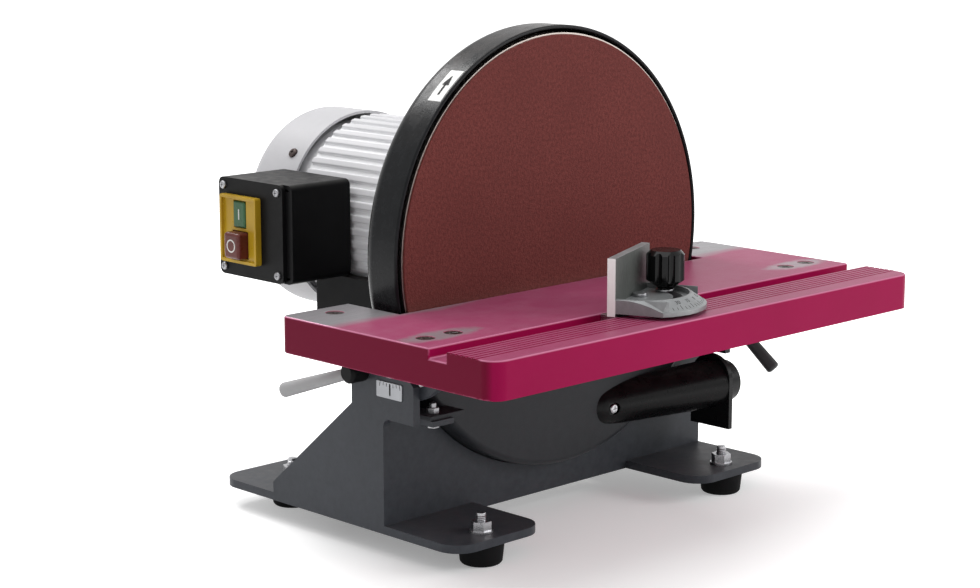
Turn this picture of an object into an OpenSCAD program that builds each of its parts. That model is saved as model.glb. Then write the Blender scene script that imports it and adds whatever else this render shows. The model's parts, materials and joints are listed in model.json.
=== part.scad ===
// Benchtop disc sander: a motor carries a large sanding disc in a round guard, and a tilting
// table with a mitre gauge stands before it. X runs to the right, Y to the back, Z up, in mm.
// Inside the modules y is measured from the face of the abrasive, z from the bench.

/* [Disc] */
// Diameter of the sanding disc
disc_d = 305; // [280:1:320]
// Thickness of the aluminium disc plate
disc_plate_t = 12; // [8:0.5:14]
// Thickness of the abrasive sheet
abrasive_t = 1.5; // [1:0.1:2.5]
// Width of the bare rim round the abrasive sheet
sheet_inset = 1.2; // [0.5:0.1:2]
// Diameter of the motor shaft
shaft_d = 20; // [16:1:22]

/* [Guard] */
// Gap between the disc and the upper guard
guard_gap = 2.5; // [1.5:0.5:4]
// Wall of the upper guard
guard_t = 3; // [2:0.5:4]
// How far the disc stands proud of the guard's front rim
guard_setback = 2; // [1:0.5:4]
// Depth of the disc housing behind the disc face
housing_depth = 36; // [34:1:40]
// Gap between the disc and the lower guard
lower_gap = 9.5; // [7:0.5:11]
// Wall of the lower guard
lower_t = 3; // [2:0.5:4]
// Gap between the disc face and the lower guard's front wall
lower_front = 8; // [6:0.5:10]
// Depth of the lower guard's top edge below the disc axis
lower_drop = 70; // [66:1:78]
// Gap between the lower guard and the foot plates
pan_gap = 17; // [14:1:22]

/* [Base] */
// Thickness of the two cheeks
cheek_t = 6; // [5:0.5:8]
// Thickness of the foot plates
plate_t = 6; // [4:0.5:8]
// Width of each foot plate
plate_w = 86; // [80:1:95]
// Reach of the foot plates in front of the disc face
base_front = 70; // [70:1:80]
// Reach of the foot plates behind the disc face
base_back = 190; // [180:1:210]
// Set-back of the front panel behind the disc face
panel_y = 4; // [3:0.5:6]
// Thickness of the front panel and of the cross wall
panel_t = 6; // [5:0.5:8]
// Height of the rubber feet
foot_h = 16; // [12:1:20]
// Diameter of the rubber feet at the top
foot_d = 33; // [28:1:38]
// Distance of the feet from the cheeks' outer faces
foot_side = 39.5; // [30:0.5:46]
// Distance of the front feet from the front edge of the foot plates
foot_front_in = 17.5; // [17:0.5:24]
// Distance of the rear feet from the rear edge of the foot plates
foot_back_in = 38.5; // [20:0.5:46]
// Diameter of the foot studs
foot_stud_d = 8; // [6:1:10]

/* [Table] */
// Reach of the table's top beyond either side of the guard's notch
table_over = 60.5; // [56:0.5:70]
// Reach of the table in front of the disc face
table_front = 158.5; // [150:0.5:165]
// Reach of the table's wings behind the disc face
table_back = 49.5; // [45:0.5:55]
// Depth of the table top below the disc axis
table_drop = 31; // [28:0.5:34]
// Depth of the table's skirt
skirt_h = 26; // [22:1:28]
// Wall of the table's skirt
skirt_t = 8; // [6:0.5:8]
// Thickness of the table's top plate
table_t = 9; // [8:0.5:10]
// Width of the mitre slot
slot_w = 16; // [14:0.5:18]
// Depth of the mitre slot
slot_depth = 7; // [6:0.5:8]
// Distance of the mitre slot's centre from the table's front edge
slot_in = 51.5; // [45:0.5:56]
// Largest tilt of the table
tilt_max = 45; // [30:1:45]

/* [Trunnions] */
// Radius of the arc slot about the tilt axis
arc_r = 49; // [48:0.5:50]
// Diameter of the lock bolts and guide pins
lock_d = 6; // [5:0.5:7]
// Thickness of the trunnion webs
web_t = 6.5; // [5:0.5:8]
// Reach of the left lock lever from its bolt
lever_len = 66; // [56:1:72]

/* [Motor] */
// Reach of the motor's fan cover behind the disc face
motor_back = 268; // [262:1:280]
// Outer radius of the motor frame's wall
frame_r = 70; // [68:0.5:72]
// Height of the cooling fins above the frame's wall
fin_h = 8; // [6:0.5:9]
// Depth of the grooves between the fins
fin_depth = 2.5; // [2:0.5:4]
// Number of cooling fins
fin_count = 48; // [36:1:52]
// Gap between the motor frame and the fan cover
cover_gap = 7.5; // [6.5:0.5:9]
// Half width of the bearings
bearing_w = 14; // [12:1:16]
// Outer diameter of the bearings
bearing_d = 47; // [42:1:52]

/* [Switch] */
// Depth of the switch box along Y
box_w = 82; // [80:1:90]
// Height of the switch box
box_h = 74; // [72:1:84]
// Distance of the switch cover's face from the disc axis
box_reach = 140; // [132:1:146]
// Travel of the two buttons
button_travel = 2.5; // [1.5:0.5:3]

/* [Dust chute] */
// Radius of the chute at its closed end
chute_r1 = 16; // [14:0.5:17]
// Outer diameter of the round dust outlet
outlet_d = 33; // [30:1:34]
// Length of the dust outlet outside the end plate
outlet_len = 15; // [12:1:25]

/* [Mitre gauge] */
// Radius of the gauge head
head_r = 46; // [45:0.5:50]
// Thickness of the gauge head's plate
head_t = 6.5; // [5:0.5:8]
// Height of the gauge head's sloped scale rim
rim_h = 10; // [8:0.5:12]
// Height of the fence
fence_h = 38; // [35:1:50]
// Length of the fence
fence_len = 72; // [66:1:80]
// Length of the guide bar
bar_len = 88; // [80:1:110]
// Distance of the locking stud from the pivot
lock_r = 26; // [24:0.5:27]
// Diameter of the fluted knob
knob_d = 27; // [24:0.5:27]
// Swing of the head to either side of square
head_swing = 67; // [45:1:70]

/* [Hidden] */
$fn = 64;
over = 1;
fit_gap = 0.02;
run_gap = 0.05;
bolt_gap = 0.2;
slide_gap = 0.5;
face_gap = 0.3;
hex = 6;

// Round sections
disc_r = disc_d / 2;
shaft_r = shaft_d / 2;
guard_in = disc_r + guard_gap;
guard_r = guard_in + guard_t;
lower_in = disc_r + lower_gap;
lower_r = lower_in + lower_t;
lower_y = -lower_front - lower_t;

// Heights that follow from the stack of feet, foot plates, lower guard and disc
bed_z = foot_h + plate_t;
axis_h = bed_z + pan_gap + lower_r;
lower_top = axis_h - lower_drop;
wall_top = axis_h - guard_in + 65;
table_h = axis_h - table_drop;

// The origin lies below the middle of the whole machine's depth
face_y = (table_front - motor_back) / 2;

// Stack from the guard outwards: trunnion web, cheek, washer, lever hub
web_in = guard_r - 2.5;
web_out = web_in + web_t;
cheek_in = web_out + slide_gap;
cheek_out = cheek_in + cheek_t;
washer_t = 2;
washer_r = lock_d;
hub_in = cheek_out + washer_t + face_gap;
hub_len = 15;
hub_r = 7.5;
notch_x = guard_r + 2.5;

// Tilt axis, arc slot, lock bolt and guide pin, as angles about the tilt axis
pivot_y = -4;
pivot_z = table_h - 1;
stud_a = -57;
pin_a = stud_a - 50;
slot_spare = 2;
arc_w = lock_d + 2 * bolt_gap;
web_r = arc_r + arc_w / 2 + 8;
stud_y = pivot_y + arc_r * cos(stud_a);
stud_z = pivot_z + arc_r * sin(stud_a);
pin_y = pivot_y + arc_r * cos(pin_a);
pin_z = pivot_z + arc_r * sin(pin_a);

// Table heights
plate_under = table_h - table_t;
flange_t = 6;
flange_under = plate_under - flange_t;
half = notch_x + table_over;
slot_y = table_front - slot_in;
flange_out = half - skirt_t - 5.5;
screw_mid = (cheek_out + flange_out) / 2;
screw_gap_x = (flange_out - cheek_out) * 0.64;
front_screw_y = slot_w + 17 - slot_y;
rear_screw_y = table_back - 18.5;
table_screw_r = 3;
csk_r = 6.5;
csk_t = 3.5;
groove_w = 1.4;
groove_t = 0.7;
front_grooves = 6;
groove_pitch = 4.6;

// Base outline
ear_back = stud_y + 14.3;
ear_top = stud_z + 11.1;
ear_round = 8;
nose_front = pin_y - 8.7;
nose_bottom = pin_z - 26;
nose_rise = pivot_z - pivot_y - (pivot_z - flange_under) * sqrt(2) - 3;
slope_top = nose_bottom + 6;
slope_foot_y = 126;
slope_foot_z = bed_z + 8;
panel_top = nose_bottom + 1;
wall_y = housing_depth;
tab_t = 4;
tab_in = sqrt(pow(lower_r, 2) - pow(axis_h - panel_top, 2)) + 5;
tab_out = web_in - 2.5;
tab_front = -30;
tab_bolt_x = tab_out - 10;
tab_bolt_y = -19;
tab_bolt_r = 2.5;
tab_nut = 8;
ear_t = 3;

// Housing back plate and motor stations along Y
back_t = 5;
spigot_r = 35;
bell_y = housing_depth;
bell_t = 10;
frame_y0 = bell_y + 26;
cover_wall = 2;
cover_r = frame_r + cover_gap + cover_wall;
cover_y0 = motor_back - 55;
frame_y1 = cover_y0 + 9;
fin_y1 = cover_y0 - 9;
frame_wall = 6;
frame_in = frame_r - frame_wall;
fin_r = frame_r + fin_h;
fin_base = fin_r - fin_depth;
fin_w = 5.5;
fin_inset = 1.5;
rear_plate_t = 8;
rear_y1 = frame_y1 + rear_plate_t;
bearing_r = bearing_d / 2;
front_bearing_y = bell_y + bell_t;
rear_bearing_y = frame_y1 + 2 - bearing_w;
boss_r = bearing_r + 6.5;
core_y0 = frame_y0 + 0.175 * (frame_y1 - frame_y0);
core_y1 = core_y0 + 0.5 * (frame_y1 - frame_y0);
core_r = frame_in - 26.5;
end_turn = 0.1 * (frame_y1 - frame_y0);
fan_y0 = rear_y1 + 10;
fan_w = 14;
fan_r = cover_r - 19.5;
fan_blades = 9;
shaft_end = fan_y0 + fan_w + 6;
disc_back = abrasive_t + disc_plate_t;
hub_back = housing_depth - 7;
disc_hub_r = shaft_r + 12;
socket_y = abrasive_t + 4;

// Switch box
box_back = cover_r + 0.7;
cover_t = 3.5;
box_y0 = motor_back - 130;
box_y1 = box_y0 + box_w;
box_z0 = axis_h - 33.5;
box_z1 = box_z0 + box_h;
box_wall = 3;
box_round = 5;
lid_y0 = box_y0 + 7;
lid_inset = 6;
switch_y = box_y0 + box_w * 107 / 164;
switch_z = box_z0 + box_h * 73 / 148;
switch_w = box_w * 43 / 82;
switch_h = box_h * 51 / 74;
switch_t = 3;
switch_rim = 2.5;
well_w = switch_w - 7;
well_h = switch_h - 7;
well_depth = 20;
on_w = 14;
on_h = well_h * 5 / 11;
off_w = 18;
off_h = on_h;
off_proud = 9;
button_gap = 0.3;
button_z = well_h * 23 / 88;
button_back = well_depth - 2 - button_travel - 1.5;

// Dust chute
chute_y = -29;
chute_z = axis_h - lower_r + 40;
chute_x1 = lower_r - 24;
chute_x0 = chute_x1 - 96;
chute_y0 = lower_y + 10;
chute_z0 = chute_z - 5.6;
chute_wall = 2.5;
outlet_r = outlet_d / 2;
outlet_step = 0.8;
chute_r2 = outlet_r + chute_wall;
window_h = 8;
window_z = chute_z - 3;
window_x0 = chute_x0 + 16;
window_x1 = sqrt(pow(lower_in, 2) - pow(axis_h - window_z + window_h, 2)) - 4;
end_t = 4;
end_w = 2 * chute_r2 + 0.5;
end_top = chute_z + chute_r2 + 5;
end_bottom = chute_z - 33;
chute_run = [chute_x1 - chute_x0, chute_y - chute_y0, chute_z - chute_z0];
chute_len = norm(chute_run);
chute_start = (window_x0 - chute_x0) / chute_run[0];
chute_screw_r = 2;
chute_seat = 0.6;

// Mitre gauge
slot_floor = table_h - slot_depth;
bar_w = slot_w - 0.4;
bar_top = table_h - 0.2;
head_lift = 2.5;
head_z = table_h + head_lift;
gauge_x = -28;
gauge_y = -slot_y;
bar_x0 = gauge_x - 32;
fence_t = 6;
fence_x = -5.6;
pin_r = 3.5;
rim_t = 12;
side_rim = 4;
bead_t = 3;
stud_r = 3;
head_washer_t = 1.5;
knob_z = head_z + head_t + head_washer_t + 2;
knob_h = 26;
flutes = 9;

// Cradle and its bolts
box_top_gap = 1;
cradle_y0 = wall_y + panel_t;
cradle_y1 = fin_y1 - 27;
cradle_in = fin_r + 0.2;
cradle_out = cradle_in + 3.3;
cradle_drop = box_top_gap + axis_h - box_z0;
cradle_flange_t = 6;
cradle_half = 62;
cradle_foot = min(wall_top - 52, axis_h - cradle_out - 61.5);
cradle_front = cradle_y0 + cradle_flange_t - 0.5;
cradle_side = cradle_out - 10.5;
cradle_low = axis_h - cradle_out - 8;
rib_x = 34;
rib_t = 6;

// Helpers

// Puts what is drawn from the disc face into the machine's own frame
module machine() { translate([0, face_y, 0]) children(); }

// Moves what follows to the height of the disc axis
module on_axis() { translate([0, 0, axis_h]) children(); }

// Draws the left-hand piece and its mirror image
module both_sides() { children(); mirror([1, 0, 0]) children(); }

// Round bar along Y, and along X
module rod_y(y0, y1, r) { translate([0, y0, 0]) rotate([-90, 0, 0]) cylinder(h = y1 - y0, r = r); }
module rod_x(x0, x1, r) { translate([x0, 0, 0]) rotate([0, 90, 0]) cylinder(h = x1 - x0, r = r); }

// Box given by its lowest and highest corner
module block(a, b) { translate(a) cube(b - a); }

// Extrudes an outline drawn in Y and Z along X, and one drawn in X and Z along Y
module plate_x(x0, x1) { translate([x0, 0, 0]) rotate([90, 0, 90]) linear_extrude(x1 - x0) children(); }
module plate_y(y0, y1) { translate([0, y1, 0]) rotate([90, 0, 0]) linear_extrude(y1 - y0) children(); }

// Revolves a profile of radius and y about the disc axis
module turned() { rotate([-90, 0, 0]) rotate_extrude($fn = 128) children(); }

// Hexagon prism along Z, measured across its flats
module hex_z(z0, z1, flats) {
    translate([0, 0, z0]) cylinder(h = z1 - z0, r = flats / sqrt(3), $fn = hex);
}

// Points of an arc about a centre
function arc(c, r, a0, a1, n = 8) =
    [for (i = [0:n]) let (a = a0 + (a1 - a0) * i / n) c + r * [cos(a), sin(a)]];

// Rectangle with rounded corners
function rounded(a, b, r) = concat(
    arc([b[0] - r, b[1] - r], r, 0, 90), arc([a[0] + r, b[1] - r], r, 90, 180),
    arc([a[0] + r, a[1] + r], r, 180, 270), arc([b[0] - r, a[1] + r], r, 270, 360));

// Places of the four feet
foot_x = cheek_out - foot_side;
foot_places = [for (x = [-foot_x, foot_x], y = [foot_front_in - base_front, base_back - foot_back_in])
    [x, y, 0]];

// Base and feet

// Side view of a cheek: ear round the lock bolt, nose at the front, slope down to the rear foot
module cheek_outline() {
    fillet = 6;
    polygon(concat(
        [[panel_y, foot_h], [slope_foot_y, foot_h], [slope_foot_y, slope_foot_z], [ear_back, slope_top]],
        arc([ear_back - ear_round, ear_top - ear_round], ear_round, 0, 90),
        [[ear_top - nose_rise, ear_top], [nose_front, nose_front + nose_rise], [nose_front, nose_bottom]],
        arc([panel_y - fillet, nose_bottom - fillet], fillet, 90, 0)));
}

module base() {
    machine() color("dimgray") difference() {
        union() {
            both_sides() {
                plate_x(-cheek_out, -cheek_in) cheek_outline();
                translate([0, 0, foot_h]) linear_extrude(plate_t)
                    polygon(rounded([-cheek_out, -base_front], [plate_w - cheek_out, base_back], 18));
            }
            block([-tab_out, tab_front, panel_top - tab_t], [-tab_in, panel_y + over, panel_top]);
            plate_y(panel_y, panel_y + panel_t) difference() {
                translate([-cheek_in - over, foot_h]) square([2 * (cheek_in + over), panel_top - foot_h]);
                translate([0, axis_h]) circle(lower_r + 1);
            }
            block([-cheek_in - over, wall_y, foot_h], [cheek_in + over, wall_y + panel_t, wall_top]);
        }
        for (p = foot_places) translate(p) cylinder(h = bed_z + over, r = foot_stud_d / 2 + bolt_gap);
        lock_places() rod_x(-cheek_out - over, -cheek_in + over, lock_d / 2 + bolt_gap);
        pin_places() rod_x(-cheek_out + 2, -cheek_in + over, lock_d / 2 + fit_gap);
        translate([-tab_bolt_x, tab_bolt_y, panel_top - tab_t - over])
            cylinder(h = tab_t + 2 * over, r = tab_bolt_r + bolt_gap);
        cradle_bolt_places() rod_y(wall_y - over, cradle_y0 + over, cradle_bolt_r + run_gap);
        lower_screw_places() rod_y(wall_y - over, cradle_y0 + over, lower_screw_r + run_gap);
        back_bolt_places() rod_y(wall_y - over, cradle_y0 + over, back_bolt_r + bolt_gap);
    }
}

module rubber_feet() {
    machine() color("black") for (p = foot_places) translate(p) difference() {
        union() {
            cylinder(h = 2, r1 = foot_d / 2 - 3, r2 = foot_d / 2 - 1.5);
            translate([0, 0, 2]) cylinder(h = foot_h - 2, r1 = foot_d / 2 - 1.5, r2 = foot_d / 2);
        }
        translate([0, 0, 4]) cylinder(h = foot_h, r = foot_stud_d / 2 + fit_gap);
    }
}

module foot_studs() {
    machine() color("silver") for (p = foot_places) translate(p + [0, 0, 4])
        cylinder(h = bed_z + 10, r = foot_stud_d / 2);
}

// Flanged nuts that hold the feet to the foot plates
module foot_nuts() {
    machine() color("silver") for (p = foot_places) translate(p) difference() {
        union() {
            translate([0, 0, bed_z]) cylinder(h = 1.6, r = foot_stud_d * 1.06);
            hex_z(bed_z + 1.6, bed_z + 1.6 + foot_stud_d * 0.8, foot_stud_d * 1.625);
        }
        translate([0, 0, bed_z - over]) cylinder(h = foot_stud_d * 2, r = foot_stud_d / 2 + fit_gap);
    }
}

// Disc housing

back_bolt_r = 3;
motor_bolt_r = 3;
guard_screw_r = 2;
lower_screw_r = 2;
motor_bolt_ring = 52;
guard_lip = 22;
guard_lip_t = 2;
guard_round = 12;
guard_back = housing_depth + guard_lip_t;
back_bolt_in = 12;
lower_lip_t = 3;
lower_lip_in = guard_in + 0.5;
guard_screw_angles = [25, 58, 90, 122, 155];
lower_screw_angles = [-140, -115, -90, -65, -40];

back_bolt_angles = [-45, -56, -124, -135];
back_bolt_flats = 10;
module back_bolt_places() {
    on_axis() for (a = back_bolt_angles) rotate([0, -a, 0])
        translate([guard_in - back_bolt_in, 0, 0]) children();
}
module motor_bolt_places() {
    on_axis() for (a = [45:90:315]) rotate([0, a, 0]) translate([motor_bolt_ring, 0, 0]) children();
}
module guard_screw_places() {
    on_axis() for (a = guard_screw_angles) rotate([0, -a, 0])
        translate([guard_in - (guard_lip + guard_round - guard_t) / 2, 0, 0]) children();
}
module lower_screw_places() {
    on_axis() for (a = lower_screw_angles) rotate([0, -a, 0])
        translate([(lower_lip_in + lower_in) / 2, 0, 0]) children();
}

module back_plate() {
    machine() color("dimgray") difference() {
        union() {
            on_axis()
                rod_y(housing_depth - back_t, housing_depth, guard_in - guard_round + guard_t - bolt_gap);
            intersection() {
                on_axis() rod_y(housing_depth - back_t, housing_depth, guard_in - bolt_gap);
                block([-guard_r, 0, 0], [guard_r, 2 * housing_depth, lower_top - bolt_gap]);
            }
        }
        on_axis() rod_y(0, housing_depth + over, spigot_r + run_gap);
        motor_bolt_places() rod_y(0, housing_depth + over, motor_bolt_r + bolt_gap);
        guard_screw_places() rod_y(0, housing_depth + over, guard_screw_r + run_gap);
        back_bolt_places() rod_y(0, housing_depth + over, back_bolt_r + run_gap);
    }
}

module back_plate_bolts() {
    machine() color("silver") back_bolt_places() {
        rod_y(housing_depth - back_t, cradle_y0, back_bolt_r);
        translate([0, cradle_y0, 0]) rotate([-90, 0, 0]) hex_z(0, back_bolt_r * 1.3, back_bolt_flats);
    }
}

// Upper guard: a round band with a rolled front rim, a rounded back and a lip behind the back plate
module disc_guard() {
    rim = guard_t / 2;
    inner_round = guard_round - guard_t;
    machine() color("darkslategray") difference() {
        on_axis() turned() polygon(concat(
            arc([guard_in + rim, guard_setback + rim], rim, 180, 360),
            arc([guard_r - guard_round, guard_back - guard_round], guard_round, 0, 90, 12),
            [[guard_in - guard_lip, guard_back], [guard_in - guard_lip, housing_depth]],
            arc([guard_in - inner_round, housing_depth - inner_round], inner_round, 90, 0, 12)));
        block([-guard_r - over, -over, 0], [guard_r + over, guard_back + over, lower_top]);
        guard_screw_places() rod_y(0, guard_back + over, guard_screw_r + bolt_gap);
    }
}

module guard_screws() {
    machine() color("silver") guard_screw_places() {
        rod_y(housing_depth - back_t + 1, guard_back, guard_screw_r);
        rod_y(guard_back, guard_back + 2.4, guard_screw_r * 1.9);
    }
}

// Lower guard: a half-round pan with a closed front, open at the top, and an ear on the left
module lower_guard() {
    fillet = 5;
    machine() color("dimgray") difference() {
        union() {
            on_axis() turned() polygon(concat([[0, lower_y]],
                arc([lower_r - fillet, lower_y + fillet], fillet, -90, 0),
                [[lower_r, housing_depth], [lower_lip_in, housing_depth],
                 [lower_lip_in, housing_depth - lower_lip_t], [lower_in, housing_depth - lower_lip_t],
                 [lower_in, -lower_front], [0, -lower_front]]));
            difference() {
                block([-tab_out, tab_front + 2, panel_top], [-tab_in + 12, lower_y + 4, panel_top + ear_t]);
                on_axis() rod_y(-lower_front, housing_depth, lower_r - 1);
            }
        }
        block([-lower_r - over, lower_y - over, lower_top],
            [lower_r + over, housing_depth + over, axis_h + lower_r + over]);
        translate([-tab_bolt_x, tab_bolt_y, panel_top - over])
            cylinder(h = ear_t + 2 * over, r = tab_bolt_r + bolt_gap);
        block([window_x0, lower_y - over, window_z - window_h],
            [window_x1, -lower_front + over, window_z + window_h]);
        translate([chute_x0, 0, chute_z0]) rod_y(lower_y - over, 0, chute_screw_r + run_gap);
        lower_screw_places() rod_y(0, housing_depth + over, lower_screw_r + bolt_gap);
    }
}

module lower_guard_screws() {
    machine() color("silver") lower_screw_places() {
        rod_y(housing_depth - lower_lip_t, cradle_y0 - 1, lower_screw_r);
        rod_y(housing_depth - lower_lip_t - 2.2, housing_depth - lower_lip_t, lower_screw_r * 1.6);
    }
}

// Bolt that holds the lower guard's ear down on the base's tab
module tab_bolt() {
    machine() color("silver") translate([-tab_bolt_x, tab_bolt_y, panel_top]) {
        translate([0, 0, -tab_t]) cylinder(h = tab_t + ear_t + tab_nut * 0.9, r = tab_bolt_r);
        hex_z(-tab_t - tab_nut * 0.4, -tab_t, tab_nut);
        hex_z(ear_t, ear_t + tab_nut * 0.5, tab_nut);
    }
}

// Place and direction of the chute's slanting axis
module chute_axis() {
    translate([chute_x0, chute_y0, chute_z0])
        rotate([0, acos(chute_run[2] / chute_len), atan2(chute_run[1], chute_run[0])]) children();
}

// Dust chute: a round duct that grows out of the lower guard's front to the right, with an end plate
module dust_chute() {
    past = 8;
    slope = (chute_r2 - chute_r1) / chute_len;
    start = chute_start * chute_len;
    machine() color("black") difference() {
        union() {
            intersection() {
                union() {
                    chute_axis() sphere(chute_r1);
                    chute_axis() cylinder(h = chute_len + past, r1 = chute_r1, r2 = chute_r2 + past * slope);
                }
                block([chute_x0 - 2 * chute_r1, 3 * chute_y, 0], [chute_x1, lower_y, axis_h]);
            }
            plate_x(chute_x1, chute_x1 + end_t) end_outline();
        }
        intersection() {
            chute_axis() translate([0, 0, start]) cylinder(h = chute_len + past - start,
                r1 = chute_r1 - chute_wall + start * slope, r2 = chute_r2 - chute_wall + past * slope);
            block([chute_x0, 3 * chute_y, 0], [chute_x1 + over, lower_y - chute_wall, axis_h]);
        }
        block([window_x0, lower_y - chute_wall - over, window_z - window_h],
            [window_x1, lower_y + over, window_z + window_h]);
        translate([0, chute_y, chute_z])
            rod_x(chute_x1 - over, chute_x1 + end_t + over, outlet_r + outlet_step + fit_gap);
        translate([chute_x0, 0, chute_z0]) {
            rod_y(chute_y0 - 2 * chute_r1, lower_y + over, chute_screw_r + bolt_gap);
            rod_y(chute_y0 - 2 * chute_r1, chute_y0 - chute_r1 + chute_seat, chute_screw_r * 2.4);
        }
    }
}

// Arched end plate of the chute, in Y and Z
module end_outline() {
    r = end_w / 2;
    mid = lower_y - r;
    polygon(concat([[lower_y, end_bottom]], arc([mid, end_top - r], r, 0, 180, 16),
        [[lower_y - end_w, end_bottom]]));
}

module chute_screw() {
    front = chute_y0 - chute_r1 + chute_seat;
    machine() color("silver") translate([chute_x0, 0, chute_z0]) {
        rod_y(front, -lower_front, chute_screw_r);
        rod_y(front - 1.8, front, chute_screw_r * 1.9);
    }
}

// Round outlet that a hose is pushed over, with a thicker root in the end plate
module dust_outlet() {
    machine() color("black") translate([0, chute_y, chute_z]) difference() {
        union() {
            rod_x(chute_x1, chute_x1 + end_t, outlet_r + outlet_step);
            rod_x(chute_x1 + end_t, chute_x1 + end_t + outlet_len, outlet_r);
        }
        rod_x(chute_x1 - over, chute_x1 + end_t + outlet_len + over, outlet_r - chute_wall);
    }
}

// Motor

cradle_bolt_r = 4;
cradle_bolt_flats = 13;
cradle_bolt_x = cradle_half - 12;
cradle_bolt_top = min(wall_top - 14, cradle_low - 15.5);
cradle_bolt_drop = 27;
bell_screw_r = 2;
cover_screw_r = 2;
pad_y0 = box_y0 + 10;
pad_z = 24;
cover_screw_angles = [39, 141, 219, 321];
cover_boss_y = frame_y1 + 4;
cover_boss_r = 3.6;

module cradle_bolt_places() {
    for (x = [-cradle_bolt_x, cradle_bolt_x], z = [cradle_bolt_top, cradle_bolt_top - cradle_bolt_drop])
        translate([x, 0, z]) children();
}
module bell_screw_places() {
    on_axis() for (a = [0:90:270]) rotate([0, a, 0]) translate([frame_r - frame_wall / 2, 0, 0]) children();
}
module cover_screw_places() {
    on_axis() for (a = cover_screw_angles) rotate([0, a, 0]) translate([0, cover_boss_y, 0]) children();
}

// Cast bracket under the motor: saddle, two side walls, a front web, a flange on the cross wall and two ribs
module motor_cradle() {
    top = axis_h - cradle_drop;
    machine() color("black") difference() {
        union() {
            intersection() {
                on_axis() rod_y(cradle_front, cradle_y1, cradle_out);
                block([-cradle_out, cradle_front, axis_h - cradle_out], [cradle_out, cradle_y1, top]);
            }
            both_sides() block([-cradle_out, cradle_front, cradle_low], [-cradle_side, cradle_y1, top]);
            block([-cradle_out, cradle_front, cradle_low], [cradle_out, cradle_front + cradle_flange_t, top]);
            block([-cradle_half, cradle_y0, cradle_foot], [cradle_half, cradle_y0 + cradle_flange_t, top]);
            for (x = [-rib_x, rib_x]) plate_x(x - rib_t / 2, x + rib_t / 2) polygon([
                [cradle_y0, cradle_foot], [cradle_y0 + cradle_flange_t + 6, cradle_foot],
                [cradle_y1, axis_h - cradle_out], [cradle_y1, top - 20], [cradle_y0, top - 20]]);
        }
        on_axis() rod_y(cradle_y0 - over, cradle_y1 + over, cradle_in);
        cradle_bolt_places()
            rod_y(cradle_y0 - over, cradle_y0 + cradle_flange_t + over, cradle_bolt_r + bolt_gap);
    }
}

module cradle_bolts() {
    head = cradle_y0 + cradle_flange_t;
    machine() color("silver") cradle_bolt_places() {
        rod_y(wall_y + 1, head, cradle_bolt_r);
        translate([0, head, 0]) rotate([-90, 0, 0]) hex_z(0, cradle_bolt_r * 1.3, cradle_bolt_flats);
    }
}

// Front end bell: spigot in the back plate, flange, bearing boss and rim
module front_bell() {
    machine() color("gainsboro") difference() {
        on_axis() difference() {
            union() {
                rod_y(housing_depth - back_t, bell_y + over, spigot_r);
                rod_y(bell_y, frame_y0, frame_r);
            }
            difference() {
                rod_y(bell_y + bell_t + 4, frame_y0 + over, frame_in);
                rod_y(bell_y, frame_y0, boss_r);
            }
            rod_y(front_bearing_y, frame_y0 + over, bearing_r + fit_gap);
            rod_y(0, frame_y0, shaft_r + 2);
        }
        motor_bolt_places() rod_y(bell_y - over, bell_y + bell_t, motor_bolt_r + run_gap);
        bell_screw_places() rod_y(frame_y0 - 12, frame_y0 + over, bell_screw_r + run_gap);
    }
}

// Motor frame: tube with cooling fins along it and a pad for the switch box
module motor_frame() {
    machine() color("gainsboro") difference() {
        on_axis() difference() {
            union() {
                rod_y(frame_y0, frame_y1, frame_r);
                rod_y(frame_y0 + fin_inset, fin_y1, fin_base);
                for (i = [0:fin_count - 1]) rotate([0, 360 * i / fin_count, 0])
                    block([fin_base - 2, frame_y0 + 2 * fin_inset, -fin_w / 2],
                          [fin_r, fin_y1 - fin_inset, fin_w / 2]);
                block([-box_back, pad_y0, -pad_z], [-frame_in, fin_y1 + 1, pad_z]);
            }
            rod_y(frame_y0 - over, frame_y1 + over, frame_in);
        }
        bell_screw_places() rod_y(frame_y0 - over, frame_y0 + 9, bell_screw_r + run_gap);
        bell_screw_places() rod_y(frame_y1 - 9, frame_y1 + over, bell_screw_r + run_gap);
    }
}

module rear_bell() {
    machine() color("gainsboro") difference() {
        on_axis() difference() {
            union() {
                rod_y(frame_y1, rear_y1, frame_r);
                rod_y(rear_bearing_y, frame_y1 + over, boss_r);
                for (a = cover_screw_angles) rotate([0, a, 0]) translate([0, cover_boss_y, 0])
                    rod_x(frame_r - 6, cover_r - cover_wall - 0.1, cover_boss_r);
            }
            rod_y(rear_bearing_y - over, rear_bearing_y + bearing_w, bearing_r + fit_gap);
            rod_y(rear_bearing_y, rear_y1 + over, shaft_r + 2);
        }
        bell_screw_places() rod_y(frame_y1 - over, rear_y1 + over, bell_screw_r + bolt_gap);
        cover_screw_places() rod_x(frame_r - 4, cover_r, cover_screw_r + run_gap);
    }
}

// Bolts of the motor: flange bolts in the housing and screws of the two end bells
module motor_bolts() {
    machine() color("silver") {
        motor_bolt_places() {
            rod_y(housing_depth - back_t, bell_y + bell_t - 1, motor_bolt_r);
            rod_y(housing_depth - back_t - 4, housing_depth - back_t, motor_bolt_r * 1.8);
        }
        bell_screw_places() rod_y(frame_y0 - 11, frame_y0 + 8, bell_screw_r);
        bell_screw_places() {
            rod_y(frame_y1 - 8, rear_y1, bell_screw_r);
            rod_y(rear_y1, rear_y1 + 2.5, bell_screw_r * 1.45);
        }
    }
}

module stator_core() {
    machine() color("slategray") on_axis() difference() {
        rod_y(core_y0, core_y1, frame_in - run_gap);
        rod_y(core_y0 - over, core_y1 + over, core_r + 0.5);
    }
}

module stator_windings() {
    machine() color("peru") on_axis() for (y = [core_y0 - end_turn, core_y1]) difference() {
        rod_y(y, y + end_turn, frame_in - 4);
        rod_y(y - over, y + end_turn + over, core_r + 4);
    }
}

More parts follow.
